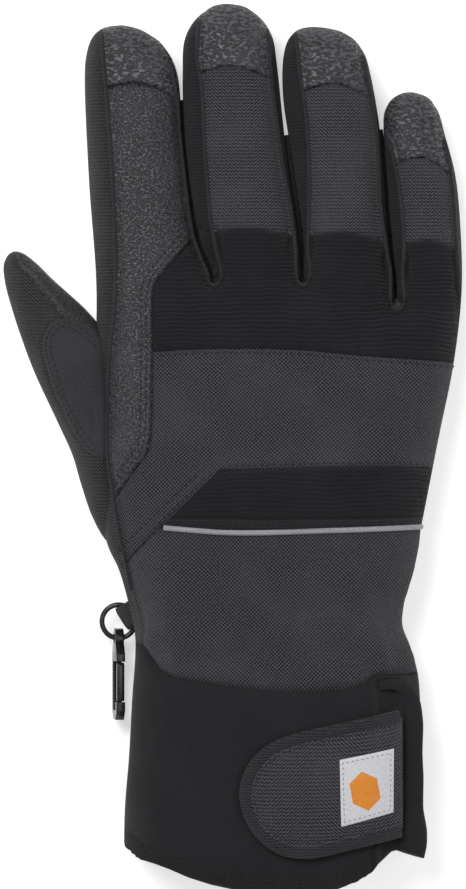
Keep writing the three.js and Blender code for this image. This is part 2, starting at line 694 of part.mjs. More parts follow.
const hook = new THREE.Group();
hook.position.set(RING_CENTRE[0], HOOK_EYE_Y, CLIP_HEIGHT);
glove.add(hook);
addPiece(hook, 'hook_frame', hookFrameSolid(), LOOKS.plastic);
const gate = addPiece(hook, 'hook_gate', gateSolid(), LOOKS.plastic);
gate.position.set(0, GATE_PIVOT_Y - HOOK_EYE_Y, HOOK_HALF_HEIGHT - GATE_THICKNESS / 2);

export default glove;
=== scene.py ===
"""A right-hand insulated work glove lying palm down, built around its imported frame.

The back of the glove is one surface over the glove's outline, puffed like a filled bag, cut into its
sewn panels along the seams. The palm is a second one, and the thumb a third and fourth. Sizes here are
in millimetres and are turned into metres when a mesh is made.
"""
import json
import math

import bmesh
import bpy
import numpy as np
from mathutils import Matrix, Vector
from mathutils.bvhtree import BVHTree
from mathutils.geometry import delaunay_2d_cdt

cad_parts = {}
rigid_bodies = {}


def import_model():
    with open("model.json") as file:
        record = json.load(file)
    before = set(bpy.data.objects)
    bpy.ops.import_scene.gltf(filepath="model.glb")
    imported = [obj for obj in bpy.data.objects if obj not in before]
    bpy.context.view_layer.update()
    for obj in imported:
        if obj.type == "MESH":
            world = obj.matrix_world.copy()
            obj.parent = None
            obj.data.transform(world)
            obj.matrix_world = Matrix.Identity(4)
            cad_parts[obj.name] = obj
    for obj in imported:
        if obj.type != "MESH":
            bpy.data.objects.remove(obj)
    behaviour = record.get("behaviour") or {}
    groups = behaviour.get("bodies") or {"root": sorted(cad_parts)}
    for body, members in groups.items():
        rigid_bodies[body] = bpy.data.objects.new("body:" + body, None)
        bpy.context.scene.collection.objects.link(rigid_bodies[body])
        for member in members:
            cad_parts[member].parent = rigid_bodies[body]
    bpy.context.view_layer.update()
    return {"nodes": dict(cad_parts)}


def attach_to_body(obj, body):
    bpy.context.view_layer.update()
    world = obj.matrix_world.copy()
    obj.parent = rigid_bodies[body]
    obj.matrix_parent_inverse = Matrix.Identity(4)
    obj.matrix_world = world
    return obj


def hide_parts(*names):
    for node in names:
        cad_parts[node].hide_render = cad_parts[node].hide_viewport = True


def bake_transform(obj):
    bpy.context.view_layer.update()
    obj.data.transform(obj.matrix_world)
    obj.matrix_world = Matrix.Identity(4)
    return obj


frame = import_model()

MM = 0.001
FINGERS = ("index", "middle", "ring", "little")

# ---- outlines and seams -------------------------------------------------------------------------

# The outline runs up the thumb side, round each finger and down the other side, to below the cuff.
OUTLINE = {
    "index": [(-36.5, -165), (-36.5, -125), (-35, -105), (-33.9, -85), (-32.9, -71), (-33, -64),
              (-35.3, -53), (-38.5, -42), (-42.5, -33), (-46, -10), (-46.6, 20), (-46.3, 55), (-48.8, 90),
              (-50.3, 126), (-49.8, 133), (-47.9, 139), (-44.5, 142.3), (-39, 143.2), (-33, 142.2),
              (-26.2, 139), (-21.4, 133.6), (-18.7, 127), (-16.5, 103), (-12, 70), (-8.9, 62), (-6, 56.3)],
    "middle": [(-6, 56.3), (-7.6, 62), (-10.9, 70), (-15.6, 98), (-16.9, 128), (-16.1, 139),
               (-12.5, 145.5), (-7, 149.4), (-1, 150.3), (5, 149.2), (10.6, 145), (13.9, 139), (15.2, 131),
               (18.3, 102), (23.3, 66), (24.1, 56.4)],
    "ring": [(24.1, 56.4), (24.2, 70), (20.6, 97), (17.3, 120), (17.6, 133.6), (19.4, 139), (22.5, 142),
             (26.5, 142.8), (33, 142), (38, 140.7), (41.8, 138.5), (45.2, 133.6), (46.9, 128),
             (50.4, 108), (53, 75), (56, 47.9)],
    "little": [(56, 47.9), (55.3, 60), (53.2, 85), (51.6, 108), (52, 114), (54.5, 118.3), (58.5, 120.3),
               (63, 120.2), (67, 118.4), (70, 114.5), (72.6, 106), (76.2, 92), (78.1, 70), (78.2, 52),
               (75.4, 28), (70.3, 3), (62.7, -35), (58.2, -55), (57.9, -61), (60.5, -68), (63, -77),
               (63.8, -86), (63.8, -125), (64.5, -165)],
}

# Seams that run up and down, each from its top end.
LEFT_SEAMS = {
    "index": [(-44, 145), (-44, 139), (-43, 126.5), (-41, 101), (-39.4, 70.7), (-39.4, 49.6),
              (-41.1, 32.6), (-42, 12), (-41.8, -5), (-39.8, -17.7), (-38.5, -25.4), (-36.6, -36),
              (-34.4, -47), (-32.6, -57), (-31.6, -66)],
    "middle": [(-9.5, 151), (-11.2, 143), (-11.7, 131.6), (-10.2, 121.4), (-9.2, 101), (-7.1, 75.8),
               (-5, 61.5), (-6, 56.3)],
    "ring": [(22.5, 145), (22.1, 138), (23.1, 126.5), (25.2, 111), (26.2, 91), (25.4, 64), (24.1, 56.4)],
    "little": [(50.6, 113), (52.9, 105), (55.4, 95), (57.5, 81), (58.3, 65.6), (56, 47.9)],
}
RIGHT_SEAMS = {
    "middle": [(10.8, 148), (12.3, 139), (13.1, 126.5), (15, 111), (17, 96), (19.7, 81), (22.3, 62),
               (24.1, 56.4)],
    "ring": [(42.4, 141), (44.1, 135), (46.4, 121.4), (49, 106), (50.3, 81), (52.4, 65.6), (56, 47.9)],
    "little": [(69, 119), (70.6, 111), (73.6, 97), (75.2, 82), (76, 68), (76.8, 56), (77.6, 42)],
}
CAP_EDGES = {
    "index": [(-43.5, 121.2), (-34.3, 122.9), (-26.2, 121.7), (-16.5, 117)],
    "middle": [(-10.9, 126.6), (0, 128.5), (13.1, 124.8)],
    "ring": [(24, 120.4), (35, 122.5), (46.8, 118.6)],
    "little": [(55.2, 95.6), (64.6, 97.6), (74.6, 91.9)],
}
RIB_TOPS = {
    "middle": [(-6.8, 72.6), (7, 73.4), (21, 71.5)],
    "ring": [(25.7, 71.2), (38.4, 72.4), (51.6, 69.6)],
    "little": [(58.2, 68.6), (67.7, 69.4), (76, 67)],
}
LEATHER_EDGE = [(-10, 74.4), (-12.2, 71.7), (-18.9, 63.7), (-24.9, 56.4), (-26.4, 53), (-26.7, 30.6),
                (-27.3, 3), (-28.4, -2), (-33.2, -8.7), (-39.9, -17.9)]
BAND_TOP = [(-26.7, 31.7), (-10, 32.6), (24, 32.3), (34, 31.2), (80, 27.8)]
BAND_FOOT = [(-3.6, -8), (6.8, -7.8), (41.5, -7), (72, -7.5)]
LEG_EDGE = [(-3.6, -8), (-13, -16.9), (-22.6, -25.9), (-36.6, -40)]
WRIST_RIB_FOOT = [(-20.6, -24), (20, -24.6), (72, -23.6)]
PIPING = [(-24, -27.4), (0, -29.1), (32.8, -28.4), (68, -27.2)]
CUFF_SEAM = [(-40, -65), (-31.3, -67.7), (-23.3, -76), (-9.2, -79.2), (20.7, -82.3), (44, -80),
             (48.4, -76.6), (56, -76.4), (70, -76.6)]
HEM_EDGE = [(-44, -131.8), (-36.4, -134.6), (-31, -138.6), (-24.6, -140.2), (-12, -144.9), (4, -148.4),
            (23.7, -149.6), (38.1, -147.2), (47, -142.4), (52.6, -136.6), (58, -135), (70, -135)]
HEM_WIDTH = 4.6
GUSSET_X = 47.4

# Where each finger parts from the hand, and from its neighbour.
CROTCH_LINE = [(-60, 56), (24.1, 56.4), (42, 54.5), (56, 47.9), (90, 48.5)]
GAPS = [
    [(-6, 56.3), (-8.3, 62), (-11.5, 70), (-14.2, 80), (-16, 100), (-17.7, 128), (-17.7, 160)],
    [(24.1, 56.4), (23.9, 66), (21.9, 84), (19.4, 100), (16.4, 128), (15.6, 160)],
    [(56, 47.9), (54.6, 62), (53, 80), (51, 108), (48.6, 160)],
]


def spline(points, step=1.0):
    """A smooth curve through the points, sampled about every step millimetres."""
    p = np.array(points, float)
    p = np.vstack([2 * p[0] - p[1], p, 2 * p[-1] - p[-2]])
    knots = np.concatenate([[0], np.cumsum(np.linalg.norm(np.diff(p, axis=0), axis=1) ** 0.5)])
    out = []
    for i in range(1, len(p) - 2):
        k0, k1, k2, k3 = knots[i - 1:i + 3]
        count = max(1, round(float(np.linalg.norm(p[i + 1] - p[i])) / step))
        t = k1 + (k2 - k1) * np.arange(count)[:, None] / count
        a1 = ((k1 - t) * p[i - 1] + (t - k0) * p[i]) / (k1 - k0)
        a2 = ((k2 - t) * p[i] + (t - k1) * p[i + 1]) / (k2 - k1)
        a3 = ((k3 - t) * p[i + 1] + (t - k2) * p[i + 2]) / (k3 - k2)
        b1 = ((k2 - t) * a1 + (t - k0) * a2) / (k2 - k0)
        b2 = ((k3 - t) * a2 + (t - k1) * a3) / (k3 - k1)
        out.append(((k2 - t) * b1 + (t - k1) * b2) / (k2 - k1))
    out.append(p[-2:-1])
    return np.vstack(out)


def x_at(line, y):
    """Where a line that runs up and down stands, at a height up the glove."""
    order = np.argsort(line[:, 1])
    return np.interp(y, line[order, 1], line[order, 0])


def y_at(line, x):
    """How high up the glove a line that runs across it is."""
    return np.interp(x, line[:, 0], line[:, 1])


def smooth(t):
    """From 0 to 1 with a soft start and end."""
    t = np.clip(t, 0, 1)
    return t * t * (3 - 2 * t)


def normals_of(line):
    """Unit normals of a line, to the left of its direction."""
    along = np.gradient(line, axis=0)
    along /= np.linalg.norm(along, axis=1)[:, None] + 1e-9
    return np.stack([-along[:, 1], along[:, 0]], axis=1)


def beside(line, offset):
    """The line moved to its left."""
    return line + normals_of(line) * offset


def nearest(points, line):
    """Distance from each point to a line, and the closest point on it."""
    a = line[:-1]
    step = line[1:] - a
    size = (step ** 2).sum(1) + 1e-12
    distance = np.empty(len(points))
    closest = np.empty((len(points), 2))
    for i in range(0, len(points), 3000):
        p = points[i:i + 3000, None]
        t = np.clip(((p - a) * step).sum(2) / size, 0, 1)
        q = a + t[:, :, None] * step
        gap = ((p - q) ** 2).sum(2)
        best = gap.argmin(1)
        rows = np.arange(len(best))
        distance[i:i + 3000] = np.sqrt(gap[rows, best])
        closest[i:i + 3000] = q[rows, best]
    return distance, closest


def inside(points, loop):
    """Which points lie inside a loop."""
    a, b = loop, np.roll(loop, -1, axis=0)
    rise = b[:, 1] - a[:, 1]
    slope = (b[:, 0] - a[:, 0]) / np.where(rise == 0, 1, rise)
    found = np.zeros(len(points), bool)
    for i in range(0, len(points), 4000):
        x, y = points[i:i + 4000, :1], points[i:i + 4000, 1:]
        spans = (a[:, 1] > y) != (b[:, 1] > y)
        found[i:i + 4000] = (spans & (x < a[:, 0] + (y - a[:, 1]) * slope)).sum(1) % 2 == 1
    return found


def ripple(x, y, length, turn):
    """A smooth random-looking swell between -1 and 1, of about the length given."""
    total = np.zeros_like(x)
    for k in range(6):
        angle = turn + k * 2.4
        wave = 2 * math.pi / (length * (0.75 + 0.14 * k))
        total += np.sin((x * math.cos(angle) + y * math.sin(angle)) * wave + 1.7 * k + turn)
    return total / 3.2


def curves(lines):
    return {name: spline(points) for name, points in lines.items()}


def closed(loop):
    return np.vstack([loop, loop[:1]])


outline_parts = curves(OUTLINE)
hand_loop = np.vstack([outline_parts[f][:-1] for f in FINGERS] + [outline_parts["little"][-1:]])
left_seams = curves(LEFT_SEAMS)
right_seams = curves(RIGHT_SEAMS)
cap_edges = curves(CAP_EDGES)
rib_tops = curves(RIB_TOPS)
leather_edge = spline(LEATHER_EDGE)
band_top = spline(BAND_TOP)
band_foot = spline(BAND_FOOT)
leg_edge = spline(LEG_EDGE)
wrist_rib_foot = spline(WRIST_RIB_FOOT)
piping_line = spline(PIPING)
cuff_seam = spline(CUFF_SEAM)
hem_edge = spline(HEM_EDGE)
hem_seam = beside(hem_edge, HEM_WIDTH)
gusset_line = spline([(GUSSET_X, -76.6), (GUSSET_X + 0.4, -110), (GUSSET_X - 0.6, -142)])
crotch_line = np.array(CROTCH_LINE, float)
gaps = [np.array(g, float) for g in GAPS]

# ---- joints: where each one is, and where the cloth is divided and creased -----------------------

SPLIT_Y = {"index": 82, "middle": 82, "ring": 82, "little": 72}
CREASE_START = {"index": 56, "middle": 56, "ring": 56, "little": 49}
KNUCKLE_Y = {"index": 97, "middle": 101, "ring": 97, "little": 84}
THUMB_LINE = np.array([-0.5127, 0.8586])


def attach(piece, segment, *nodes):
    """Stands for the CAD nodes given. Pieces of the fingers, thumb and wrist keep their place; the rest
    follow a part of the glove.
    """
    if nodes:
        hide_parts(*nodes)
    if segment.endswith("_base"):
        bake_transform(piece)
    elif segment.endswith("_tip"):
        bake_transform(piece)
    elif segment == "thumb":
        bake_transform(piece)
    elif segment == "wrist":
        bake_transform(piece)
    else:
        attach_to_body(piece, segment)


# ---- materials ----------------------------------------------------------------------------------


def linear(colour):
    return tuple(((c / 255 + 0.055) / 1.055) ** 2.4 for c in colour) + (1,)


def add(tree, kind, inputs=(), **settings):
    """One shader node. inputs maps a socket's name or number to a value or to another node's output."""
    node = tree.nodes.new(kind)
    for key, value in settings.items():
        setattr(node, key, value)
    for key, value in dict(inputs).items():
        socket = node.inputs[key]
        if isinstance(value, bpy.types.NodeSocket):
            tree.links.new(value, socket)
        else:
            socket.default_value = value
    return node


def math_node(tree, operation, a, b=0.0):
    return add(tree, "ShaderNodeMath", {0: a, 1: b}, operation=operation).outputs[0]


def times(tree, value, factor):
    return math_node(tree, "MULTIPLY", value, factor)


def start_material(name, roughness, specular=0.35, sheen=0.0):
    material = bpy.data.materials.new(name)
    material.use_nodes = True
    tree = material.node_tree
    shader = tree.nodes["Principled BSDF"]
    shader.inputs["Roughness"].default_value = roughness
    shader.inputs["Specular IOR Level"].default_value = specular
    shader.inputs["Sheen Weight"].default_value = sheen
    shader.inputs["Sheen Roughness"].default_value = 0.6
    weave = add(tree, "ShaderNodeUVMap", uv_map="weave").outputs[0]
    return material, tree, shader, weave


def worn_patches(tree, weave, scale, detail, low, high, strength):
    """Large soft areas where the cloth is a little lighter."""
    return times(tree, between(tree, noise(tree, weave, scale, detail), low, high), strength)


def finish_material(tree, shader, pattern, dark, light, depth, patches=None):
    """Colours a surface between dark and light by a 0 to 1 pattern, and raises it by the same pattern."""
    dark, light = linear(dark), linear(light)
    colour = add(tree, "ShaderNodeMix", {"Factor": pattern, 6: dark, 7: light}, data_type="RGBA").outputs[2]
    if patches is not None:
        worn = add(tree, "ShaderNodeMix", {"Factor": patches, 6: colour, 7: light}, data_type="RGBA")
        colour = worn.outputs[2]
    tree.links.new(colour, shader.inputs["Base Color"])
    bump = add(tree, "ShaderNodeBump", {"Strength": 1.0, "Distance": depth * MM, "Height": pattern})
    tree.links.new(bump.outputs[0], shader.inputs["Normal"])


def noise(tree, where, scale, detail=2.0, rough=0.5, twist=0.0):
    found = add(tree, "ShaderNodeTexNoise", {"Vector": where, "Scale": scale, "Detail": detail,
                                             "Roughness": rough, "Distortion": twist})
    return found.outputs[0]


def between(tree, value, low, high):
    found = add(tree, "ShaderNodeMapRange", {"Value": value, "From Min": low, "From Max": high},
                interpolation_type="SMOOTHSTEP")
    return found.outputs[0]


def sine(tree, value, pitch, phase=0.0):
    turned = add(tree, "ShaderNodeMath", {0: value, 1: 2 * math.pi / pitch, 2: phase},
                 operation="MULTIPLY_ADD").outputs[0]
    return math_node(tree, "SINE", turned)


# The twill's diagonal turns over along the middle of each finger.
CHEVRON_WIDTH = 31
CHEVRON_PHASE = -2 * math.pi * 5 / CHEVRON_WIDTH


def cloth(name, dark, light, pitch, slant, depth, roughness=0.85, sheen=0.06, cross=1.0):
    """Woven cloth. slant turns the yarns: 0 is a plain weave, 1 a diagonal twill line."""
    material, tree, shader, weave = start_material(name, roughness, 0.25, sheen)
    split = add(tree, "ShaderNodeSeparateXYZ", {0: weave})
    u, v = split.outputs[0], split.outputs[1]
    wobble = times(tree, noise(tree, weave, 0.12), 1.4)
    u = math_node(tree, "ADD", u, wobble)
    lean = times(tree, v, slant)
    rising = sine(tree, math_node(tree, "ADD", u, lean), pitch)
    falling = sine(tree, math_node(tree, "SUBTRACT", u, lean), pitch)
    crossing = sine(tree, v, pitch * cross)
    if slant == 0:
        both = times(tree, rising, crossing)
    else:
        turn = between(tree, sine(tree, u, CHEVRON_WIDTH, CHEVRON_PHASE), -0.7, 0.7)
        lines = add(tree, "ShaderNodeMix", {"Factor": turn, 2: rising, 3: falling}).outputs[0]
        both = math_node(tree, "ADD", times(tree, lines, 0.65), times(tree, crossing, 0.35))
    yarn = noise(tree, weave, 1.6, 3.0)
    mixed = math_node(tree, "ADD", times(tree, both, 0.5), yarn)
    pattern = between(tree, mixed, 0.1, 0.95)
    patches = worn_patches(tree, weave, 0.045, 3.0, 0.35, 0.8, 0.3)
    finish_material(tree, shader, pattern, dark, light, depth, patches)
    return material


def leather(name, dark, light, grain, stretch, depth, roughness):
    """Pebbled leather, with grains of about the size given, drawn out across the finger by stretch."""
    material, tree, shader, weave = start_material(name, roughness, 0.5)
    scaled = add(tree, "ShaderNodeMapping", {"Vector": weave, "Scale": (1 / stretch, 1, 1)}).outputs[0]
    pebbles = noise(tree, scaled, 0.8 / grain, 2.0, 0.5, 0.6)
    bumps = between(tree, pebbles, 0.36, 0.64)
    fine = noise(tree, weave, 2.6 / grain, 2.0)
    mixed = math_node(tree, "ADD", times(tree, bumps, 0.8), times(tree, fine, 0.35))
    pattern = between(tree, mixed, 0.1, 1.05)
    patches = worn_patches(tree, weave, 0.06, 3.0, 0.4, 0.75, 0.25)
    finish_material(tree, shader, pattern, dark, light, depth, patches)
    rough = add(tree, "ShaderNodeMapRange", {"Value": bumps, "To Min": roughness + 0.2,
                                             "To Max": roughness}).outputs[0]
    tree.links.new(rough, shader.inputs["Roughness"])
    return material


def felt(name, dark, light, size, depth, roughness=0.95, sheen=0.06):
    """Knitted or brushed cloth with no clear yarns."""
    material, tree, shader, weave = start_material(name, roughness, 0.2, sheen)
    loops = noise(tree, weave, 1 / size, 4.0, 0.65)
    pattern = between(tree, loops, 0.3, 0.72)
    patches = worn_patches(tree, weave, 0.05, 2.0, 0.35, 0.8, 0.4)
    finish_material(tree, shader, pattern, dark, light, depth, patches)
    return material


def moulded(name, dark, light, roughness, depth, metallic=0.0):
    """Smooth moulded or painted surface with fine flow marks and worn spots."""
    material, tree, shader, _ = start_material(name, roughness, 0.5)
    shader.inputs["Metallic"].default_value = metallic
    where = add(tree, "ShaderNodeTexCoord").outputs["Object"]
    marks = noise(tree, where, 900.0, 4.0, 0.6)
    pattern = between(tree, marks, 0.35, 0.75)
    finish_material(tree, shader, pattern, dark, light, depth)
    return material


# Each material: the function that makes it, its dark and light colours, and its other settings in order.
LOOKS = {
    "canvas": (cloth, (8, 8, 10), (80, 79, 85), 1.3, 0, 0.25),
    "twill": (cloth, (8, 8, 10), (84, 83, 89), 1.15, 1, 0.25),
    "strap_cloth": (cloth, (12, 12, 14), (82, 80, 86), 1.2, 1, 0.22),
    "side_cloth": (cloth, (12, 12, 14), (67, 66, 69), 1.15, 1, 0.2),
    "dark_cloth": (cloth, (9, 9, 10), (44, 43, 48), 1.1, 1, 0.18),
    "leather": (leather, (24, 24, 26), (74, 73, 78), 0.5, 1.15, 0.2, 0.5),
    "cap_leather": (leather, (30, 29, 32), (82, 80, 85), 0.75, 1.7, 0.3, 0.42),
    "palm_leather": (leather, (32, 30, 33), (60, 58, 61), 0.6, 1.0, 0.12, 0.6),
    "patch_suede": (felt, (40, 39, 42), (66, 65, 69), 0.5, 0.12, 0.9),
    "rib": (felt, (13, 13, 16), (40, 39, 44), 0.4, 0.12),
    "neoprene": (felt, (23, 22, 25), (42, 41, 44), 0.4, 0.08),
    "cord": (felt, (22, 22, 24), (60, 59, 63), 0.4, 0.08),
    "hem": (felt, (20, 19, 21), (40, 39, 42), 0.45, 0.12),
    "lining": (felt, (58, 58, 62), (112, 112, 118), 0.9, 0.6),
    "binding": (cloth, (12, 12, 14), (62, 60, 65), 0.95, 1, 0.18),
    "webbing": (cloth, (20, 20, 22), (88, 88, 92), 1.0, 0, 0.25, 0.85, 0.06, 0.6),
    "piping": (cloth, (120, 121, 126), (176, 177, 183), 0.6, 1, 0.08, 0.45, 0.0),
    "thread": (felt, (14, 14, 16), (44, 43, 46), 0.3, 0.05, 0.6, 0.1),
    "white_thread": (felt, (120, 120, 124), (190, 190, 194), 0.3, 0.05, 0.7, 0.1),
    "label": (cloth, (190, 190, 196), (238, 238, 243), 0.7, 0, 0.08, 0.7, 0.1, 0.7),
    "orange": (cloth, (222, 120, 24), (250, 168, 66), 0.55, 1, 0.12, 0.6, 0.1),
    "hook_tape": (felt, (20, 20, 22), (48, 48, 50), 0.8, 0.5),
    "plastic": (moulded, (20, 20, 22), (40, 40, 42), 0.22, 0.02),
    "metal": (moulded, (38, 38, 40), (66, 66, 68), 0.3, 0.02, 0.6),
}
MATERIALS = {name: make(name, *settings) for name, (make, *settings) in LOOKS.items()}

# ---- meshes -------------------------------------------------------------------------------------


def place(name, data):
    """A new object in the scene."""
    found = bpy.data.objects.new(name, data)
    bpy.context.scene.collection.objects.link(found)
    return found


def make_piece(name, vertices, faces, material, slot, uv=None):
    """A mesh from millimetre points. uv is in millimetres of cloth."""
    vertices = np.asarray(vertices, float)
    mesh = bpy.data.meshes.new(name)
    faces = faces.tolist() if isinstance(faces, np.ndarray) else faces
    mesh.from_pydata((vertices * MM).tolist(), [], faces)
    layer = mesh.uv_layers.new(name="weave")
    if uv is None:
        uv = vertices[:, :2] + vertices[:, 2:] * 0.5
    corners = np.empty(len(mesh.loops), int)
    mesh.loops.foreach_get("vertex_index", corners)
    layer.data.foreach_set("uv", np.asarray(uv, float)[corners].ravel())
    mesh.polygons.foreach_set("use_smooth", np.ones(len(mesh.polygons), bool))
    mesh.materials.append(MATERIALS[material])
    mesh.update()
    piece = place(name, mesh)
    return piece


def merged(parts):
    """Joins (vertices, faces) pairs into one."""
    vertices, faces, base = [], [], 0
    for v, f in parts:
        vertices.append(np.asarray(v, float))
        faces += [[i + base for i in face] for face in f]
        base += len(v)
    return np.vstack(vertices), faces


def ring_faces(rows, columns, closed=True, capped=False):
    """Faces of a tube whose rows of points follow each other."""
    faces = []
    last = columns if closed else columns - 1
    for i in range(rows - 1):
        for j in range(last):
            k = (j + 1) % columns
            faces.append([i * columns + j, i * columns + k, (i + 1) * columns + k, (i + 1) * columns + j])
    if capped:
        faces.append(list(range(columns))[::-1])
        faces.append([(rows - 1) * columns + j for j in range(columns)])
    return faces


def tube(path, radius, sides=10, capped=True, flat=1.0):
    """A tube round a path of 3-D points. radius may change along it, flat squashes it upright."""
    path = np.asarray(path, float)
    along = np.gradient(path, axis=0)
    along /= np.linalg.norm(along, axis=1)[:, None] + 1e-9
    side = np.cross(along, (0, 0, 1.0))
    side /= np.linalg.norm(side, axis=1)[:, None] + 1e-9
    up = np.cross(side, along)
    radius = np.broadcast_to(radius, len(path))
    angles = np.arange(sides) * 2 * math.pi / sides
    turned = np.cos(angles)[:, None], np.sin(angles)[:, None]
    ring = turned[0] * side[:, None] + turned[1] * up[:, None] * flat
    points = path[:, None] + ring * radius[:, None, None]
    return points.reshape(-1, 3), ring_faces(len(path), sides, True, capped)


class Scatter:
    """Points for a sheet, kept apart from each other."""

    def __init__(self):
        self.cells = {}
        self.points = []

    def near(self, x, y, gap):
        i, j = math.floor(x), math.floor(y)
        limit = gap * gap
        for a in (i - 1, i, i + 1):
            for b in (j - 1, j, j + 1):
                for px, py in self.cells.get((a, b), ()):
                    if (px - x) ** 2 + (py - y) ** 2 < limit:
                        return True
        return False

    def add(self, points, gap):
        for x, y in points:
            if gap == 0 or not self.near(x, y, gap):
                self.cells.setdefault((math.floor(x), math.floor(y)), []).append((x, y))
                self.points.append((x, y))


# Spacing of the points of a sheet, and rows of closer points beside its edge, seams and stitches.
BACK_GRID = 1.25
PALM_GRID = 2.0
EDGE_ROWS = (0.12, 0.5, 1.2, 2.4)
SEAM_ROWS = (0.35, 0.8, 1.5)
STITCH_ROWS = (0, 0.45, -0.45)


def triangulate(loop, seams, stitch_rows, grid, extra=None):
    """Triangles over the inside of a loop, finer along its edge and along the lines given."""
    scatter = Scatter()
    scatter.add(loop, 0)
    edges = [(i, (i + 1) % len(loop)) for i in range(len(loop))]
    for seam in seams:
        start = len(scatter.points)
        scatter.add(seam, 0)
        edges += [(start + i, start + i + 1) for i in range(len(seam) - 1)]
    fixed = len(scatter.points)
    if extra is not None:
        scatter.add(extra, 0.2)
    for seam in seams:
        for row in SEAM_ROWS:
            scatter.add(beside(seam, row), 0.3)
            scatter.add(beside(seam, -row), 0.3)
    for line in stitch_rows:
        for row in STITCH_ROWS:
            scatter.add(beside(line, row), 0.3)
    for row in EDGE_ROWS:
        scatter.add(beside(loop, -row), 0.3 if row > 0.2 else 0.1)
    low, high = loop.min(0), loop.max(0)
    rows = np.arange(low[1], high[1], grid * 0.87)
    columns = np.arange(low[0], high[0], grid)
    for k, y in enumerate(rows):
        scatter.add([(x + (k % 2) * grid / 2, y) for x in columns], min(grid * 0.7, 0.98))
    points = np.array(scatter.points)
    free = points[fixed:]
    gap, _ = nearest(free, closed(loop))
    free = free[inside(free, loop) & (gap > 0.1)]
    points = np.vstack([points[:fixed], free])
    found = delaunay_2d_cdt([Vector(p) for p in points], edges, [], 0, 1e-4)
    vertices = np.array([tuple(v) for v in found[0]])
    faces = np.array(found[2])
    faces = faces[inside(vertices[faces].mean(1), loop)]
    a, b, c = (vertices[faces[:, k]] for k in range(3))
    turn = (b[:, 0] - a[:, 0]) * (c[:, 1] - a[:, 1]) - (b[:, 1] - a[:, 1]) * (c[:, 0] - a[:, 0])
    faces[turn < 0] = faces[turn < 0][:, ::-1]
    return vertices, faces[np.abs(turn) > 1e-7]


def vertex_normals(vertices, faces):
    a, b, c = (vertices[faces[:, k]] for k in range(3))
    normal = np.cross(b - a, c - a)
    total = np.zeros_like(vertices)
    for k in range(3):
        np.add.at(total, faces[:, k], normal)
    return total / (np.linalg.norm(total, axis=1)[:, None] + 1e-12)


def unrolled(points, closest, distance, radius, rise, power):
    """Where each point lies on the cloth laid flat: steep edges are given their real width."""
    shown = np.clip(distance / radius, 0, 1)
    start = np.arccos(np.clip((1 - shown) ** (power / 2), 0, 1))
    steps = np.linspace(0, 1, 15)[:, None]
    angle = start + (math.pi / 2 - start) * steps
    t = 1 - np.cos(angle) ** (2 / power)
    f = np.sin(angle) ** (2 / power)
    length = np.hypot(np.diff(t, axis=0) * radius, np.diff(f, axis=0) * rise).sum(0)
    spare = length - (1 - shown) * radius
    away = closest - points
    away /= np.linalg.norm(away, axis=1)[:, None] + 1e-6
    return points + away * spare[:, None]


def cut_pieces(vertices, faces, uv, names):
    """Splits one sheet into pieces by each face's name."""
    for name in sorted(set(names)):
        own = faces[names == name]
        used, inverse = np.unique(own, return_inverse=True)
        yield name, vertices[used], inverse.reshape(own.shape), uv[used]


# ---- outer form ---------------------------------------------------------------------------------

# y, then the height of the side seam, the top of the back and the radius over which the edge rounds.
BODY_SECTIONS = [
    (-170, 21.6, 43.2, 44), (-120, 21, 42.8, 44), (-85, 20.3, 40.4, 40), (-60, 19.5, 37, 27),
    (-30, 19, 38.5, 30), (0, 18, 38, 31), (30, 16, 35, 25), (48, 15, 31, 16.5), (60, 14.5, 28.5, 13.9),
    (80, 13.7, 26.6, 13.3), (120, 13.2, 25, 12.8), (155, 12.8, 23.6, 12.4),
]
LITTLE_RADIUS = [(-170, 44), (-85, 40), (-60, 27), (-30, 30), (0, 29), (20, 22), (30, 18), (48, 11.4),
                 (62, 10.6), (100, 10.4), (155, 10.2)]
LITTLE_DROP = 1.6
PALM_HEIGHT = 1.4
sections = np.array(BODY_SECTIONS, float)
section_curves = [spline(sections[:, [0, k]]) for k in (1, 2, 3)]
little_radius = spline(LITTLE_RADIUS)


def body_shape(x, y):
    """Side-seam height, top height, edge radius and roundness of the glove at a place."""
    middle, top, radius = (y_at(curve, y) for curve in section_curves)
    on_little = smooth((x - 48) / 10)
    radius = radius + (y_at(little_radius, y) - radius) * on_little
    top = top - LITTLE_DROP * on_little * smooth((y - 20) / 40)
    power = 2.2 + 0.4 * smooth((-55 - y) / 30)
    return middle, top, radius, power


def dome(t, power):
    return (1 - (1 - np.clip(t, 0, 1)) ** power) ** (1 / power)


def back_height(x, y, distance):
    middle, top, radius, power = body_shape(x, y)
    crown = 0.6 * ripple(x, y, 62, 0.4) * smooth(distance / 12)
    return middle + (top - middle) * dome(distance / radius, power) + crown


def palm_height(x, y, distance):
    middle, _, radius, _ = body_shape(x, y)
    hollow = 2.2 * smooth((distance - 9) / 20) * smooth((y + 40) / 30) * smooth((40 - y) / 30)
    return middle - (middle - PALM_HEIGHT - hollow) * dome(distance / (radius * 0.92), 2.5)


def edge_distance(points):
    """Distance from each point to the glove's outline, and the closest point on it."""
    return nearest(points, closed(hand_loop))


# ---- what lies where on the back ----------------------------------------------------------------


def finger_at(x, y):
    """Number of the finger at each place."""
    return sum((x > x_at(gap, y)).astype(int) for gap in gaps)


def segment_at(x, y):
    """Name of the moving part of the glove at each place."""
    finger = finger_at(x, y)
    out = np.full(len(x), "hand", dtype="<U12")
    for k, name in enumerate(FINGERS):
        own = (finger == k) & (y > y_at(crotch_line, x))
        out[own] = name + "_base"
        out[own & (y > SPLIT_Y[name])] = name + "_tip"
    return out


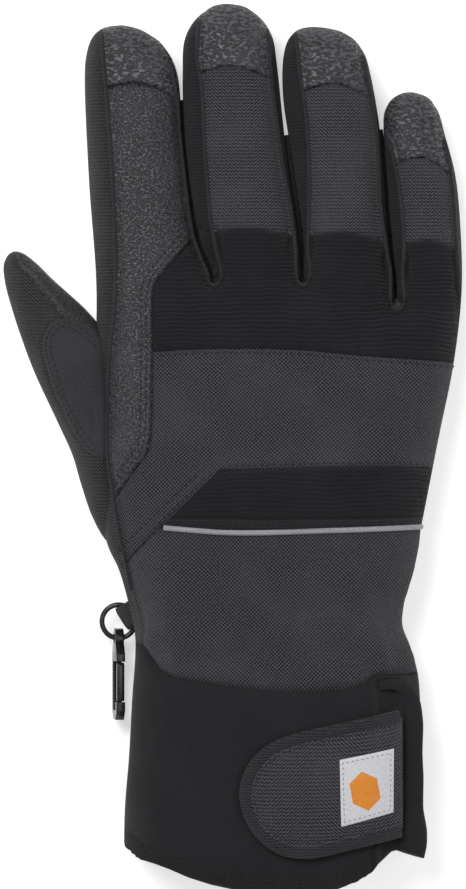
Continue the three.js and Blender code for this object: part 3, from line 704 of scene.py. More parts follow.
# Each finger has its own panels above this height. Its side seams run on down to the heights given.
FINGER_PANELS_Y = 60
LEFT_SIDE_FOOT = {"index": -66, "middle": 47, "ring": 47, "little": 48}
RIGHT_SIDE_FOOT = {"middle": 47, "ring": 47, "little": 40}
LEATHER_TIP_Y = 74
LEATHER_FOOT_Y = -17.9
LEG_FOOT_Y = -40
BAND_LEFT = -3.6


def back_panel_at(x, y):
    """Name of the sewn panel of the back at each place."""
    finger = finger_at(x, y)
    out = np.full(len(x), "lower_back", dtype="<U12")
    out[y > y_at(piping_line, x)] = "strip"
    out[y > y_at(wrist_rib_foot, x)] = "wrist_rib"
    on_leg = (x < x_at(leg_edge, y)) & (y > LEG_FOOT_Y)
    out[on_leg | (y > y_at(band_foot, x)) & (x > BAND_LEFT)] = "band"
    out[y > y_at(band_top, x)] = "rib"
    high = y > FINGER_PANELS_Y
    for name, line in rib_tops.items():
        out[high & (finger == FINGERS.index(name)) & (y > y_at(line, x))] = "twill"
    out[(x < x_at(leather_edge, y)) & (y > LEATHER_FOOT_Y)] = "leather"
    out[(finger == 0) & (y > LEATHER_TIP_Y)] = "leather"
    for k, name in enumerate(FINGERS):
        own = finger == k
        out[own & high & (y > y_at(cap_edges[name], x))] = "cap"
        out[own & (y > LEFT_SIDE_FOOT[name]) & (x < x_at(left_seams[name], y))] = "side"
        if name in right_seams:
            out[own & (y > RIGHT_SIDE_FOOT[name]) & (x > x_at(right_seams[name], y))] = "side"
    below = y < y_at(cuff_seam, x)
    out[below] = "cuff"
    out[below & (x > GUSSET_X)] = "gusset"
    out[y < y_at(hem_seam, x)] = "hem"
    out[y < y_at(hem_edge, x)] = "none"
    return out


# How far each panel stands off the plain form beside its seams, and how much more away from them.
LIFT = {"leather": 0.8, "cap": 0.8, "band": 0.55, "strip": 0.45, "side": -0.1, "twill": 0.25,
        "lower_back": 0.5, "rib": 0.1, "wrist_rib": 0.1, "cuff": 0.0, "gusset": -1.0, "hem": 0.9}
PUFF = {"leather": 0.5, "cap": 0.4, "twill": 0.5, "lower_back": 1.2, "cuff": 0.6}
RIB_PITCH = 1.46
RIB_ROWS = 6
RIB_AREAS = [(26, 76, -28, 80), (-27, -5, -26, 74)]  # low, high, left and right of each knitted panel


def rib_wave(x, y):
    return 0.55 * ripple(x, y, 34, 2.1) + 0.16 * np.sin(x / 1.9 + y / 5)


def rib_points():
    """Rows of points that follow the ribs of the two knitted panels."""
    out = []
    for low, high, left, right in RIB_AREAS:
        for y in np.arange(low, high, RIB_PITCH / RIB_ROWS):
            x = np.arange(left, right, 1.45)
            out.append(np.stack([x, y - rib_wave(x, np.full_like(x, y))], axis=1))
    points = np.vstack(out)
    panel = back_panel_at(*points.T)
    return points[(panel == "rib") | (panel == "wrist_rib")]


CORDED = [left_seams[f] for f in FINGERS] + list(right_seams.values())

# The index finger's right-hand seam lies on its edge. The cords run on round the foot of each gap.
index_edge = spline([(-20.9, 129), (-18.9, 118), (-17.7, 103), (-13.1, 70), (-10.3, 63.5)])
CORD_JOIN = 12


def crotch_cord(left, right, bottom):
    """The cord round the foot of a gap, from the seam on its left to the seam on its right."""
    points = []
    for line in (left, right):
        away = np.linalg.norm(line - bottom, axis=1)
        arm = [line[np.argmin(np.abs(away - reach))] for reach in (CORD_JOIN + 4, CORD_JOIN)]
        points.append(arm)
    foot = [bottom + (-2.4, 1.6), bottom + (-1.7, -1.0), bottom + (0, -2.1), bottom + (1.7, -1.0),
            bottom + (2.4, 1.6)]
    return spline(points[0] + foot + points[1][::-1], 0.6)


gap_feet = [gap[0] for gap in gaps]
crotches = {(left, right): crotch_cord(right_seams.get(left, index_edge), left_seams[right], foot)
            for left, right, foot in zip(FINGERS, FINGERS[1:], gap_feet)}
FOLDED = (list(cap_edges.values()) + list(rib_tops.values())
          + [leather_edge, band_top, band_foot, leg_edge, wrist_rib_foot, piping_line])
CUFF_LINES = [cuff_seam, hem_seam, gusset_line]
# Where the shell is divided between the hand and the fingers, and along each finger.
SPLITS = [spline(crotch_line[i:i + 2]) for i in range(len(crotch_line) - 1)]
SPLITS += [spline([(-60, SPLIT_Y["index"]), (53.5, SPLIT_Y["index"])]),
           spline([(53.6, SPLIT_Y["little"]), (90, SPLIT_Y["little"])])]


def offsets(line, *distances):
    """Copies of a line, each moved to its left by one of the distances."""
    return [beside(line, d) for d in distances]


def part_of(line, keep):
    """The points of a line whose x and y pass a test."""
    return line[keep(line[:, 0], line[:, 1])]


leather_stitches = offsets(leather_edge[3:-2], -2.1, -3.9)
leg_stitches = [part_of(line, lambda x, y: (y < -9) & (y > -37)) for line in offsets(leg_edge, -1.3, -4.3)]
strip_stitches = [part_of(line, lambda x, y: (x > -20) & (x < 66)) for line in offsets(wrist_rib_foot, -1.1)]
band_stitches = [part_of(band_top, lambda x, y: (x > -25) & (x < 75)) - (0, 1.4),
                 part_of(band_foot, lambda x, y: (x > -2) & (x < 68)) + (0, 1.3)]
hem_stitches = [part_of(beside(hem_edge, HEM_WIDTH - 0.9), lambda x, y: (x > -34) & (x < 50))]
STITCHED = leather_stitches + leg_stitches + strip_stitches + band_stitches + hem_stitches


def groove(distance, width):
    """1 on a line, falling away to each side."""
    return np.exp(-(distance / width) ** 2)


def step(distance, width):
    """0 on a line, rising to 1 away from it."""
    return 1 - np.exp(-distance / width)


def seam_distance(points, lines):
    found = np.full(len(points), 1e3)
    for line in lines:
        found = np.minimum(found, nearest(points, line)[0])
    return found


# Panel edges that are turned under and sewn down: the panel, its edge and the width of the turning.
TURNED_EDGES = [("leather", leather_edge[3:-2], 4.9), ("band", leg_edge, 5.3), ("band", band_top, 2.2),
                ("cap", cap_edges["index"], 1.6), ("cap", cap_edges["middle"], 1.6),
                ("cap", cap_edges["ring"], 1.6), ("cap", cap_edges["little"], 1.6)]

# Where the elastic wrist pulls the cloth in: x, y, width, length and depth.
WRIST_PINCHES = [(-29, -61, 6, 8, 1.4), (-15, -69, 8, 4.5, 1.0), (54, -60, 7, 10, 1.8), (44, -71, 7, 4, 1.0)]


def back_relief(points, distance):
    """How far the sewn panels stand off the plain form."""
    x, y = points[:, 0], points[:, 1]
    panel = back_panel_at(x, y)
    corded = seam_distance(points, CORDED + [index_edge])
    crotch = seam_distance(points, list(crotches.values()))
    folded = seam_distance(points, FOLDED)
    cuff_gap = seam_distance(points, CUFF_LINES)
    nearby = np.minimum(np.minimum(corded, folded), cuff_gap)
    relief = np.zeros(len(points))
    for name, lift in LIFT.items():
        relief[panel == name] += lift * step(nearby[panel == name], 0.4)
    for name, puff in PUFF.items():
        relief[panel == name] += puff * step(nearby[panel == name], 4.5)
    relief += 0.6 * groove(corded, 0.5) - 0.8 * groove(corded - 1.25, 0.5)
    relief += 0.5 * groove(crotch, 0.6) - 0.9 * groove(crotch - 1.4, 0.6)
    relief -= 0.75 * groove(folded, 0.5)
    relief -= 1.5 * groove(nearest(points, cuff_seam)[0], 1.1)
    relief -= 0.45 * groove(seam_distance(points, STITCHED), 0.5)
    for name, line, width in TURNED_EDGES:
        strip = smooth((width - nearest(points, line)[0]) / 0.7)
        relief[panel == name] += 0.4 * strip[panel == name]
    ribbed = (panel == "rib") | (panel == "wrist_rib")
    phase = (y + rib_wave(x, y)) / RIB_PITCH
    ribs = 0.75 * np.abs(np.sin(math.pi * phase)) ** 0.8 * step(nearby, 0.9)
    relief[ribbed] += ribs[ribbed]
    above_cuff = np.clip(y - y_at(cuff_seam, x), 0, 60)
    gathers = np.sin(x / 1.55 + 1.6 * ripple(x, y, 30, 1.0)) * groove(above_cuff - 5, 7)
    relief[panel == "lower_back"] += 0.35 * gathers[panel == "lower_back"]
    relief += 0.22 * ripple(x, y, 19, 0.9) + 0.1 * ripple(x, y, 7, 3.3) * (ribbed == 0)
    # A hollow beside the gusset, where the strap comes out of the cuff.
    recess = smooth((x - 48) / 3) * smooth((58 - x) / 2.5) * (y < -78)
    relief -= 2.2 * recess
    for at_x, at_y, wide, tall, depth in WRIST_PINCHES:
        relief -= depth * np.exp(-((x - at_x) / wide) ** 2 - ((y - at_y + 0.5 * (x - at_x)) / tall) ** 2)
    return relief * smooth(distance / 1.3)


def build_back():
    seams = CORDED + FOLDED + CUFF_LINES + [hem_edge] + SPLITS
    points, faces = triangulate(hand_loop, seams, STITCHED, BACK_GRID, rib_points())
    distance, closest = edge_distance(points)
    x, y = points[:, 0], points[:, 1]
    plain = np.column_stack([points, back_height(x, y, distance)])
    middle, top, radius, power = body_shape(x, y)
    uv = unrolled(points, closest, distance, radius, top - middle, power)
    raised = plain + vertex_normals(plain, faces) * back_relief(points, distance)[:, None]
    centre = points[faces].mean(1)
    panel = back_panel_at(*centre.T)
    segment = segment_at(*centre.T)
    on_wrist = np.isin(panel, ("lower_back", "cuff", "gusset", "hem")) | ((panel == "side") & (
        centre[:, 1] < -40))
    segment[on_wrist] = "wrist"
    names = np.char.add(np.char.add(segment, "-"), panel)
    keep = panel != "none"
    return raised, faces[keep], uv, names[keep]


BACK_LOOKS = {  # material and slot of each panel
    "leather": ("leather", "leather"), "cap": ("cap_leather", "grained_leather"),
    "side": ("side_cloth", "twill"), "twill": ("twill", "twill"), "rib": ("rib", "rib_fabric"),
    "wrist_rib": ("rib", "rib_fabric"), "band": ("canvas", "canvas"),
    "strip": ("dark_cloth", "rib_fabric"),
    "lower_back": ("canvas", "canvas"), "cuff": ("neoprene", "neoprene"),
    "gusset": ("neoprene", "neoprene"), "hem": ("hem", "binding"),
}
BACK_NODES = {
    "hand-leather": ["index_leather_panel"], "hand-rib": ["knuckle_rib_panel"],
    "hand-band": ["back_band_panel"], "hand-wrist_rib": ["wrist_rib_panel"],
    "wrist-lower_back": ["lower_back_panel"], "wrist-cuff": ["cuff_back_panel"],
    "wrist-gusset": ["cuff_gusset"], "wrist-hem": ["cuff_hem_binding"],
    "index_base-leather": ["index_base_back"], "index_tip-leather": ["index_tip_back"],
}
for finger in FINGERS:
    BACK_NODES[finger + "_tip-cap"] = [finger + "_cap"]
    if finger != "index":
        BACK_NODES[finger + "_base-twill"] = [finger + "_base_back"]
        BACK_NODES[finger + "_tip-twill"] = [finger + "_tip_back"]

back_vertices, back_faces, back_uv, back_names = build_back()
for name, vertices, faces, uv in cut_pieces(back_vertices, back_faces, back_uv, back_names):
    segment, panel = name.split("-")
    material, slot = BACK_LOOKS[panel]
    if panel == "side" and segment.split("_")[0] in ("middle", "ring", "little"):
        material = "dark_cloth"
    piece = make_piece(f"{segment}_{panel}_back", vertices, faces, material, slot, uv)
    attach(piece, segment, *BACK_NODES.get(name, ()))

back_tree = BVHTree.FromPolygons([Vector(v) for v in back_vertices], back_faces.tolist())


def on_surface(tree, x, y, lift=0.0):
    """Point and normal of a surface seen from above."""
    hit, normal, _, _ = tree.ray_cast(Vector((x, y, 90)), Vector((0, 0, -1)))
    if hit is None:
        return None, None
    normal = normal if normal.z > 0 else -normal
    return np.array(hit + normal * lift), np.array(normal)


# ---- palm side ----------------------------------------------------------------------------------

PALM_SEAM = [(-40, -64), (-20, -69), (12, -71), (44, -69), (70, -64)]
PALM_PATCH = [(-30, -34), (15, -38), (52, -30), (60, 0), (56, 34), (20, 44), (-24, 42), (-36, 10),
              (-30, -34)]
PATCH_LIFT = 0.9

palm_seam = spline(PALM_SEAM)
patch_line = spline(PALM_PATCH)


def palm_panel_at(points):
    x, y = points[:, 0], points[:, 1]
    out = np.full(len(points), "palm", dtype="<U12")
    out[inside(points, patch_line)] = "patch"
    out[y < y_at(palm_seam, x)] = "cuff"
    out[y < y_at(hem_seam, x)] = "hem"
    out[y < y_at(hem_edge, x)] = "none"
    return out


def palm_relief(points, distance):
    x, y = points[:, 0], points[:, 1]
    panel = palm_panel_at(points)
    patch_gap = nearest(points, patch_line)[0]
    seam_gap = seam_distance(points, [palm_seam, hem_seam])
    relief = np.where(panel == "patch", PATCH_LIFT * step(patch_gap, 0.5), 0)
    relief -= 0.9 * groove(seam_gap, 1.2)
    relief += np.where(panel == "hem", 0.8 * step(seam_gap, 0.5), 0)
    finger = finger_at(x, y)
    for k, name in enumerate(FINGERS):
        for crease in (CREASE_START[name] + 8, KNUCKLE_Y[name] - 2, KNUCKLE_Y[name] + 21):
            fold = groove(y - crease - 0.8 * np.sin(x / 4), 0.9)
            relief -= np.where((finger == k) & (y > 50), 0.55 * fold, 0)
    relief += 0.25 * ripple(x, y, 16, 2.2)
    return relief * smooth(distance / 1.5)


PALM_LOOKS = {
    "palm": ("palm_leather", "palm_leather"), "patch": ("cap_leather", "grained_leather"),
    "cuff": ("neoprene", "neoprene"), "hem": ("hem", "binding"),
}
PALM_NODES = {"wrist-palm": ["palm_panel"], "hand-patch": ["palm_patch"], "wrist-cuff": ["cuff_palm_panel"]}
for finger in FINGERS:
    PALM_NODES[finger + "_base-palm"] = [finger + "_base_palm"]
    PALM_NODES[finger + "_tip-palm"] = [finger + "_tip_palm"]


def build_palm():
    seams = [palm_seam, patch_line, hem_seam, hem_edge] + SPLITS
    points, faces = triangulate(hand_loop, seams, [], PALM_GRID)
    distance, closest = edge_distance(points)
    x, y = points[:, 0], points[:, 1]
    plain = np.column_stack([points, palm_height(x, y, distance)])
    middle, _, radius, _ = body_shape(x, y)
    uv = unrolled(points, closest, distance, radius, middle - PALM_HEIGHT, 2.5)
    raised = plain - vertex_normals(plain, faces) * palm_relief(points, distance)[:, None]
    raised[:, 2] = np.maximum(raised[:, 2], 0.15)
    centre = points[faces].mean(1)
    panel = palm_panel_at(centre)
    segment = segment_at(*centre.T)
    segment[(segment == "hand") & (panel != "patch")] = "wrist"
    keep = panel != "none"
    names = np.char.add(np.char.add(segment, "-"), panel)
    return raised, faces[keep][:, ::-1], uv, names[keep]


for name, vertices, faces, uv in cut_pieces(*build_palm()):
    segment, panel = name.split("-")
    material, slot = PALM_LOOKS[panel]
    piece = make_piece(f"{segment}_{panel}_underside", vertices, faces, material, slot, uv)
    attach(piece, segment, *PALM_NODES.get(name, ()))

# ---- thumb --------------------------------------------------------------------------------------

THUMB_OUTLINE = [(-38, -36), (-43, -32), (-47.6, -24), (-51.4, -13), (-54.4, -3), (-59.6, 8.5), (-67.3, 25),
                 (-71.5, 36), (-75, 46.6), (-77.5, 56), (-77.9, 61.8), (-76.4, 65.2), (-74.2, 66.4),
                 (-71.4, 65.8), (-66.6, 62.2), (-61.7, 57.3), (-55.6, 51.8), (-49.8, 46.4), (-44, 39),
                 (-39, 22), (-36, 2), (-35.5, -20), (-37, -33)]
THUMB_SEAM = [(-75.6, 69), (-73.9, 65.3), (-72.3, 61.2), (-67.4, 56.2), (-63.7, 51.1), (-59.9, 46.3),
              (-57.4, 43.2)]
THUMB_PATCH = [(-37, -4.6), (-43, -4.5), (-48.5, -2.1), (-53.5, 4.4), (-58.6, 14.1), (-62.2, 24.2),
               (-63.9, 30), (-64.2, 35.5), (-62, 40.6), (-57.1, 43.4), (-52, 42), (-46.5, 38), (-37, 30)]
THUMB_TUCK = [(-47.4, 12), (-46.8, 8), (-46.9, 4)]
# y, then the height of the side seam, the top, the bottom and the radius over which the edge rounds.
THUMB_SECTIONS = [
    (-40, 18, 24, 9.5, 7), (-20, 17.5, 28, 8, 8.5), (0, 16, 29, 3.4, 11.5), (20, 15.5, 29, 2.6, 13),
    (38, 15, 27, 2.6, 10.8), (53, 14, 24.5, 3, 8.4), (68, 13, 21, 5, 6),
]
thumb_loop = spline(THUMB_OUTLINE)
thumb_seam = spline(THUMB_SEAM)
thumb_patch_line = spline(THUMB_PATCH)
thumb_tuck = spline(THUMB_TUCK)
thumb_stitches = [part_of(line, lambda x, y: (x < -46) & (y > -4)) for line in offsets(
    thumb_patch_line, -1.4, -3.1)]
thumb_columns = np.array(THUMB_SECTIONS, float)
thumb_curves = [spline(thumb_columns[:, [0, k]]) for k in (1, 2, 3, 4)]


def thumb_panel_at(points):
    x, y = points[:, 0], points[:, 1]
    out = np.full(len(points), "back", dtype="<U8")
    out[(x > x_at(thumb_seam, y)) & (y > 30)] = "strip"
    out[inside(points, thumb_patch_line)] = "patch"
    return out


def thumb_sheet(seams, stitches, grid, side, power):
    """A sheet puffed up (side 1) or down (side 2) from the thumb's side seam."""
    points, faces = triangulate(thumb_loop, seams, stitches, grid)
    distance, closest = nearest(points, closed(thumb_loop))
    middle, radius = y_at(thumb_curves[0], points[:, 1]), y_at(thumb_curves[3], points[:, 1])
    puff = y_at(thumb_curves[side], points[:, 1]) - middle
    sheet = np.column_stack([points, middle + puff * dome(distance / radius, power)])
    return sheet, faces, distance, unrolled(points, closest, distance, radius, np.abs(puff), power)


def thumb_relief(points, distance):
    """How far the thumb's sewn panels stand off the plain form."""
    x, y = points[:, 0], points[:, 1]
    panel = thumb_panel_at(points)
    cord_gap = nearest(points, thumb_seam)[0]
    edge = nearest(points, thumb_patch_line)[0]
    relief = np.where(panel == "patch", 0.75 * step(edge, 0.4) + 0.4 * step(edge, 4), 0)
    relief += np.where(panel == "strip", 0.5 * step(cord_gap, 0.6), 0)
    relief -= 0.8 * groove(cord_gap, 0.7) - 0.35 * groove(cord_gap - 1.4, 0.7)
    relief -= 0.35 * groove(edge, 0.5)
    relief -= 0.4 * groove(seam_distance(points, thumb_stitches), 0.5)
    relief -= 0.9 * groove(nearest(points, thumb_tuck)[0], 0.6)
    relief += 0.3 * ripple(x, y, 15, 0.5) + 0.12 * ripple(x, y, 6, 1.5)
    return relief * smooth(distance / 1.3)


def thumb_surfaces():
    """The thumb's back and palm as (vertices, faces, uv, panel names)."""
    seams = [thumb_seam, thumb_patch_line, thumb_tuck]
    sheet, faces, distance, uv = thumb_sheet(seams, thumb_stitches, BACK_GRID, 1, 2.1)
    points = sheet[:, :2]
    back = sheet + vertex_normals(sheet, faces) * thumb_relief(points, distance)[:, None]
    yield back, faces, uv, thumb_panel_at(points[faces].mean(1))
    sheet, faces, distance, uv = thumb_sheet([], [], PALM_GRID, 2, 2.2)
    sheet[:, 2] += 0.3 * ripple(sheet[:, 0], sheet[:, 1], 14, 1.1) * smooth(distance / 2)
    yield sheet, faces[:, ::-1], uv, np.full(len(faces), "palm")


THUMB_LOOKS = {
    "back": ("side_cloth", "twill", ["thumb_tip_back", "thumb_base_panel"]),
    "strip": ("palm_leather", "palm_leather", []),
    "patch": ("patch_suede", "palm_leather", ["thumb_patch"]),
    "palm": ("palm_leather", "palm_leather", ["thumb_tip_palm"]),
}
thumb_tree = None
for vertices, faces, uv, names in thumb_surfaces():
    thumb_tree = thumb_tree or BVHTree.FromPolygons([Vector(v) for v in vertices], faces.tolist())
    for name, part, own, part_uv in cut_pieces(vertices, faces, uv, names):
        material, slot, nodes = THUMB_LOOKS[name]
        piece = make_piece(f"thumb_{name}_cover", part, own, material, slot, part_uv)
        attach(piece, "thumb", *nodes)

# ---- linings ------------------------------------------------------------------------------------

LINING_GAP = 2.6  # between the shell and the middle of its lining
LINING_SIDES = 36


def finger_sides(finger):
    """A finger's outline up to its tip, and down from it."""
    part = outline_parts[finger]
    tip = part[:, 1].argmax()
    return part[:tip + 1], part[tip:]


def section_ring(centre, y, middle, reach, rise, fall, power=2.3):
    """One rounded section across the glove."""
    angle = np.arange(LINING_SIDES) * 2 * math.pi / LINING_SIDES
    across = np.sign(np.cos(angle)) * np.abs(np.cos(angle)) ** (2 / power)
    upward = np.sign(np.sin(angle)) * np.abs(np.sin(angle)) ** (2 / power)
    z = middle + np.where(upward > 0, rise, fall) * upward
    return np.column_stack([centre + reach * across, np.broadcast_to(y, len(angle)), z])


def shape_at(x, y):
    """Side-seam height and top height at one place."""
    return [float(v[0]) for v in body_shape(np.array([float(x)]), np.array([float(y)]))[:2]]


def finger_lining(finger, low, high):
    """The lining of a finger between two heights."""
    left, right = finger_sides(finger)
    tip_y = left[-1, 1]
    widest = max(x_at(right, y) - x_at(left, y) for y in (90, 110)) / 2 - LINING_GAP
    rings = []
    for y in np.linspace(low, min(high, tip_y - LINING_GAP), 16):
        a, b = x_at(left, y), x_at(right, y)
        reach = max((b - a) / 2 - LINING_GAP, 0.8)
        middle, top = shape_at((a + b) / 2, y)
        share = min(1, reach / widest) ** 0.8
        rings.append(section_ring((a + b) / 2, y, middle, reach, (top - middle - LINING_GAP) * share,
                                  (middle - PALM_HEIGHT - LINING_GAP) * share))
    return np.vstack(rings), ring_faces(len(rings), LINING_SIDES, True, True)


def make_lining(name, shape, node, segment):
    piece = make_piece(name, *shape, "lining", "lining")
    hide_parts(node)
    attach(piece, segment)


def hand_lining():
    """The lining of the palm, closed at its finger end and open at the wrist."""
    rings = []
    left, right = outline_parts["index"][:140], outline_parts["little"][60:]
    for y in (-66, -56, -44, -30, -15, 0, 15, 28, 38, 46, 50):
        a, b = x_at(left, y), x_at(right, y)
        middle, top = shape_at(10, y)
        pull = 1 - 0.5 * max(0, (y - 38) / 12) ** 2
        rings.append(section_ring((a + b) / 2, y, middle, (b - a) / 2 - 4, (top - middle - 3.2) * pull,
                                  (middle - PALM_HEIGHT - 3) * pull, 2.0))
    faces = ring_faces(len(rings), LINING_SIDES, True)
    faces.append([(len(rings) - 1) * LINING_SIDES + j for j in range(LINING_SIDES)])
    return np.vstack(rings), faces


THUMB_ROOT = np.array([-47, 2])
THUMB_TIP = np.array([-73.4, 62.4])


def thumb_lining():
    """The lining of the thumb, along a straight line from its root to near its tip."""
    rings = []
    for share in np.linspace(0, 1, 12):
        centre = THUMB_ROOT * (1 - share) + THUMB_TIP * share
        middle, top, bottom, radius = (float(y_at(curve, centre[1])) for curve in thumb_curves)
        room = nearest(centre[None], thumb_loop)[0][0] - 2.2
        size = min(radius - 2.4, room) * math.sqrt(max(0.04, 1 - max(0, share - 0.8) ** 2 * 20))
        share = size / radius
        ring = section_ring(0, 0, middle, size, (top - middle) * share, (middle - bottom) * share)
        across = ring[:, :1] * (THUMB_LINE[1], -THUMB_LINE[0])
        rings.append(np.column_stack([centre + across, ring[:, 2]]))
    return np.vstack(rings), ring_faces(len(rings), LINING_SIDES, True, True)


def make_linings():
    for finger in FINGERS:
        split = SPLIT_Y[finger]
        for segment, low, high in (("base", CREASE_START[finger] - 4, split), ("tip", split, 200)):
            segment = f"{finger}_{segment}"
            make_lining(segment + "_fleece", finger_lining(finger, low, high), segment + "_lining", segment)
    make_lining("hand_fleece", hand_lining(), "hand_lining", "wrist")
    make_lining("thumb_fleece", thumb_lining(), "thumb_tip_lining", "thumb")
    make_lining("cuff_fleece", cuff_lining(), "cuff_lining", "wrist")


CUFF_MIDDLE_X = 14
CUFF_HALF_WIDTH = 50
CUFF_TOP_Y = -60
CUFF_POWER = 2.5
MOUTH_STANDS_IN = 1.2


def mouth_ring(inset, share):
    """A ring of the cuff's wall, from the wrist (share 0) to the mouth (share 1)."""
    ring = section_ring(CUFF_MIDDLE_X, 0, 0, CUFF_HALF_WIDTH, 1, 1, CUFF_POWER)
    x = ring[:, 0]
    y = CUFF_TOP_Y * (1 - share) + (y_at(hem_edge, x) + MOUTH_STANDS_IN) * share
    a, b = x_at(outline_parts["index"][:140], y), x_at(outline_parts["little"][60:], y)
    middle, top, _, _ = body_shape(np.full_like(y, CUFF_MIDDLE_X), y)
    reach = (b - a) / 2 - inset
    across = (x - CUFF_MIDDLE_X) / CUFF_HALF_WIDTH
    upward = np.sign(ring[:, 2]) * (1 - np.abs(across) ** CUFF_POWER) ** (1 / CUFF_POWER)
    rise = np.where(upward > 0, top - middle - inset, middle - PALM_HEIGHT - inset)
    return np.column_stack([(a + b) / 2 + reach * across, y, middle + rise * upward])


def cuff_lining():
    """Both sides of the cuff's lining, which meet at the mouth."""
    shares = np.linspace(0, 1, 13)
    rows = [mouth_ring(2.9, s) for s in shares]
    rows += [mouth_ring(4.6, s) for s in shares[::-1]]
    return np.vstack(rows), ring_faces(len(rows), LINING_SIDES, True)


def make_hem_roll():
    """The binding rolled round the edge of the mouth."""
    edge = mouth_ring(1.9, 1)
    middles = (edge + np.roll(edge, -1, axis=0)) / 2
    path = closed(np.stack([edge, middles], axis=1).reshape(-1, 3))
    path[:, 1] -= 0.4
    attach(make_piece("hem_roll", *tube(path, 1.6, 10, False), "hem", "binding"), "wrist")


make_linings()
make_hem_roll()

# ---- closing strap ------------------------------------------------------------------------------


def cuff_height(x, y):
    """The plain back of the cuff, without seams or ripples."""
    x, y = np.broadcast_arrays(np.asarray(x, float), np.asarray(y, float))
    points = np.column_stack([x.ravel(), y.ravel()])
    distance, _ = edge_distance(points)
    middle, top, radius, power = body_shape(points[:, 0], points[:, 1])
    return (middle + (top - middle) * dome(distance / radius, power)).reshape(x.shape)


def slab(loop, base, thickness, grid, swell=0.0, rows=()):
    """A flat pad over a clockwise outline, lying base above the cuff. swell rounds its top."""
    points, faces = triangulate(loop, [], list(rows), grid)
    distance, _ = nearest(points, closed(loop))
    low = cuff_height(points[:, 0], points[:, 1]) + base
    high = low + thickness * (1 - 0.45 * np.exp(-(distance / 0.35) ** 2)) + swell * smooth(distance / 5)
    if len(rows):
        high -= 0.22 * np.exp(-(seam_distance(points, rows) / 0.4) ** 2)
    count = len(points)
    vertices = np.vstack([np.column_stack([points, high]), np.column_stack([points, low])])
    faces = faces.tolist()
    sides = {(a, b): True for face in faces for a, b in zip(face, face[1:] + face[:1])}
    rim = [[b, a, a + count, b + count] for a, b in sides if (b, a) not in sides]
    under = [[k + count for k in face[::-1]] for face in faces]
    return vertices, faces + under + rim


STRAP_OUTLINE = [(57.8, -130.6), (41, -134.4), (24.5, -137.6), (14.5, -135.6), (6.2, -128), (2.6, -116.8),
                 (5, -107.4), (11.2, -100.6), (19.5, -96.8), (37, -92.8), (57.6, -88.4)]
STRAP_EDGE = 4.0
STRAP_BASE = 2.3
LABEL_CORNERS = [(36.4, -127.1), (35.9, -104.8), (54.2, -101.3), (54, -122.6)]
LABEL_CENTRE = (45.1, -113.9)
MOTIF_CENTRE = (44.4, -115.2)
MOTIF_SIZE = (5.4, 6.6)


def corners_loop(corners, step=1.0):
    """A closed loop through the corners, with a point about every step millimetres."""
    out = []
    for a, b in zip(corners, corners[1:] + corners[:1]):
        count = max(1, round(math.dist(a, b) / step))
        out += [(a[0] + (b[0] - a[0]) * t / count, a[1] + (b[1] - a[1]) * t / count) for t in range(count)]
    return np.array(out)


def closed_strap(inset):
    """The strap's outline moved inward, with its straight root."""
    line = beside(strap_line, -inset)
    line = line[line[:, 0] < 57.6]
    root = corners_loop([tuple(line[-1]), tuple(line[0])])
    return np.vstack([line, root[1:int(abs(line[-1, 1] - line[0, 1]))]])


strap_line = spline(STRAP_OUTLINE)
strap_stitches = part_of(beside(strap_line, -STRAP_EDGE - 0.7), lambda x, y: x < 56)


def hexagon():
    """A plain six-sided motif, turned with the label."""
    turn = math.radians(10)
    six = []
    for k in range(6):
        a = -k * math.pi / 3 + math.pi / 2
        px, py = MOTIF_SIZE[0] * math.cos(a), MOTIF_SIZE[1] * math.sin(a)
        six.append((MOTIF_CENTRE[0] + px * math.cos(turn) - py * math.sin(turn),
                    MOTIF_CENTRE[1] + px * math.sin(turn) + py * math.cos(turn)))
    return corners_loop(six)


def make_strap():
    """The strap's layers, from the cloth down to its tape and up to its label."""
    panel = slab(closed_strap(2.4), STRAP_BASE, 1.3, 1.5, 0.5, [strap_stitches])
    attach(make_piece("strap_cloth", *panel, "strap_cloth", "canvas"), "strap", "strap_panel")
    path = part_of(beside(strap_line, -1.9), lambda x, y: x < 56.6)
    path = np.column_stack([path, cuff_height(path[:, 0], path[:, 1]) + STRAP_BASE + 0.9])
    edge = tube(path, 2.15, 14, True, 0.46)
    attach(make_piece("strap_bound_edge", *edge, "binding", "binding"), "strap", "strap_binding")
    hooks = slab(closed_strap(9), STRAP_BASE - 0.9, 0.8, 2.0)
    attach(make_piece("strap_hook_pad", *hooks, "hook_tape", "hook_and_loop"), "strap", "hook_tape")
    loops = slab(part_of(closed_strap(7), lambda x, y: x < 46), 0.1, 1.1, 2.0)
    attach(make_piece("cuff_loop_pad", *loops, "hook_tape", "hook_and_loop"), "cuff", "loop_tape")
    label = slab(corners_loop(LABEL_CORNERS), STRAP_BASE + 1.75, 0.55, 1.0)
    attach(make_piece("label_cloth", *label, "label", "label"), "strap", "label")
    motif = slab(hexagon(), STRAP_BASE + 2.25, 0.32, 0.9)
    attach(make_piece("label_hexagon", *motif, "orange", "label"), "strap")


FOLD_PATH = [(49.4, -80.6), (53.4, -80.1), (57.6, -81.4), (60.2, -85), (60.9, -92), (60.9, -105),
             (60.8, -120), (60.6, -129), (60, -134.2), (59.2, -137)]
FOLD_RADII = [1.5, 2.1, 2.9, 3.3, 3.4, 3.4, 3.5, 3.8, 4.9, 5.7]


def make_fold():
    """The neoprene folded into a soft roll where the strap leaves the cuff."""
    line = spline(FOLD_PATH, 1.2)
    stops = np.linspace(0, 1, len(FOLD_RADII))
    radius = np.interp(np.linspace(0, 1, len(line)), stops, FOLD_RADII)
    radius = radius + 0.16 * np.sin(line[:, 1] / 3.1)
    path = np.column_stack([line, cuff_height(np.minimum(line[:, 0], 59.5), line[:, 1]) - 0.5])
    attach(make_piece("cuff_fold", *tube(path, radius, 22, True, 0.44), "neoprene", "neoprene"), "cuff")


make_strap()
make_fold()

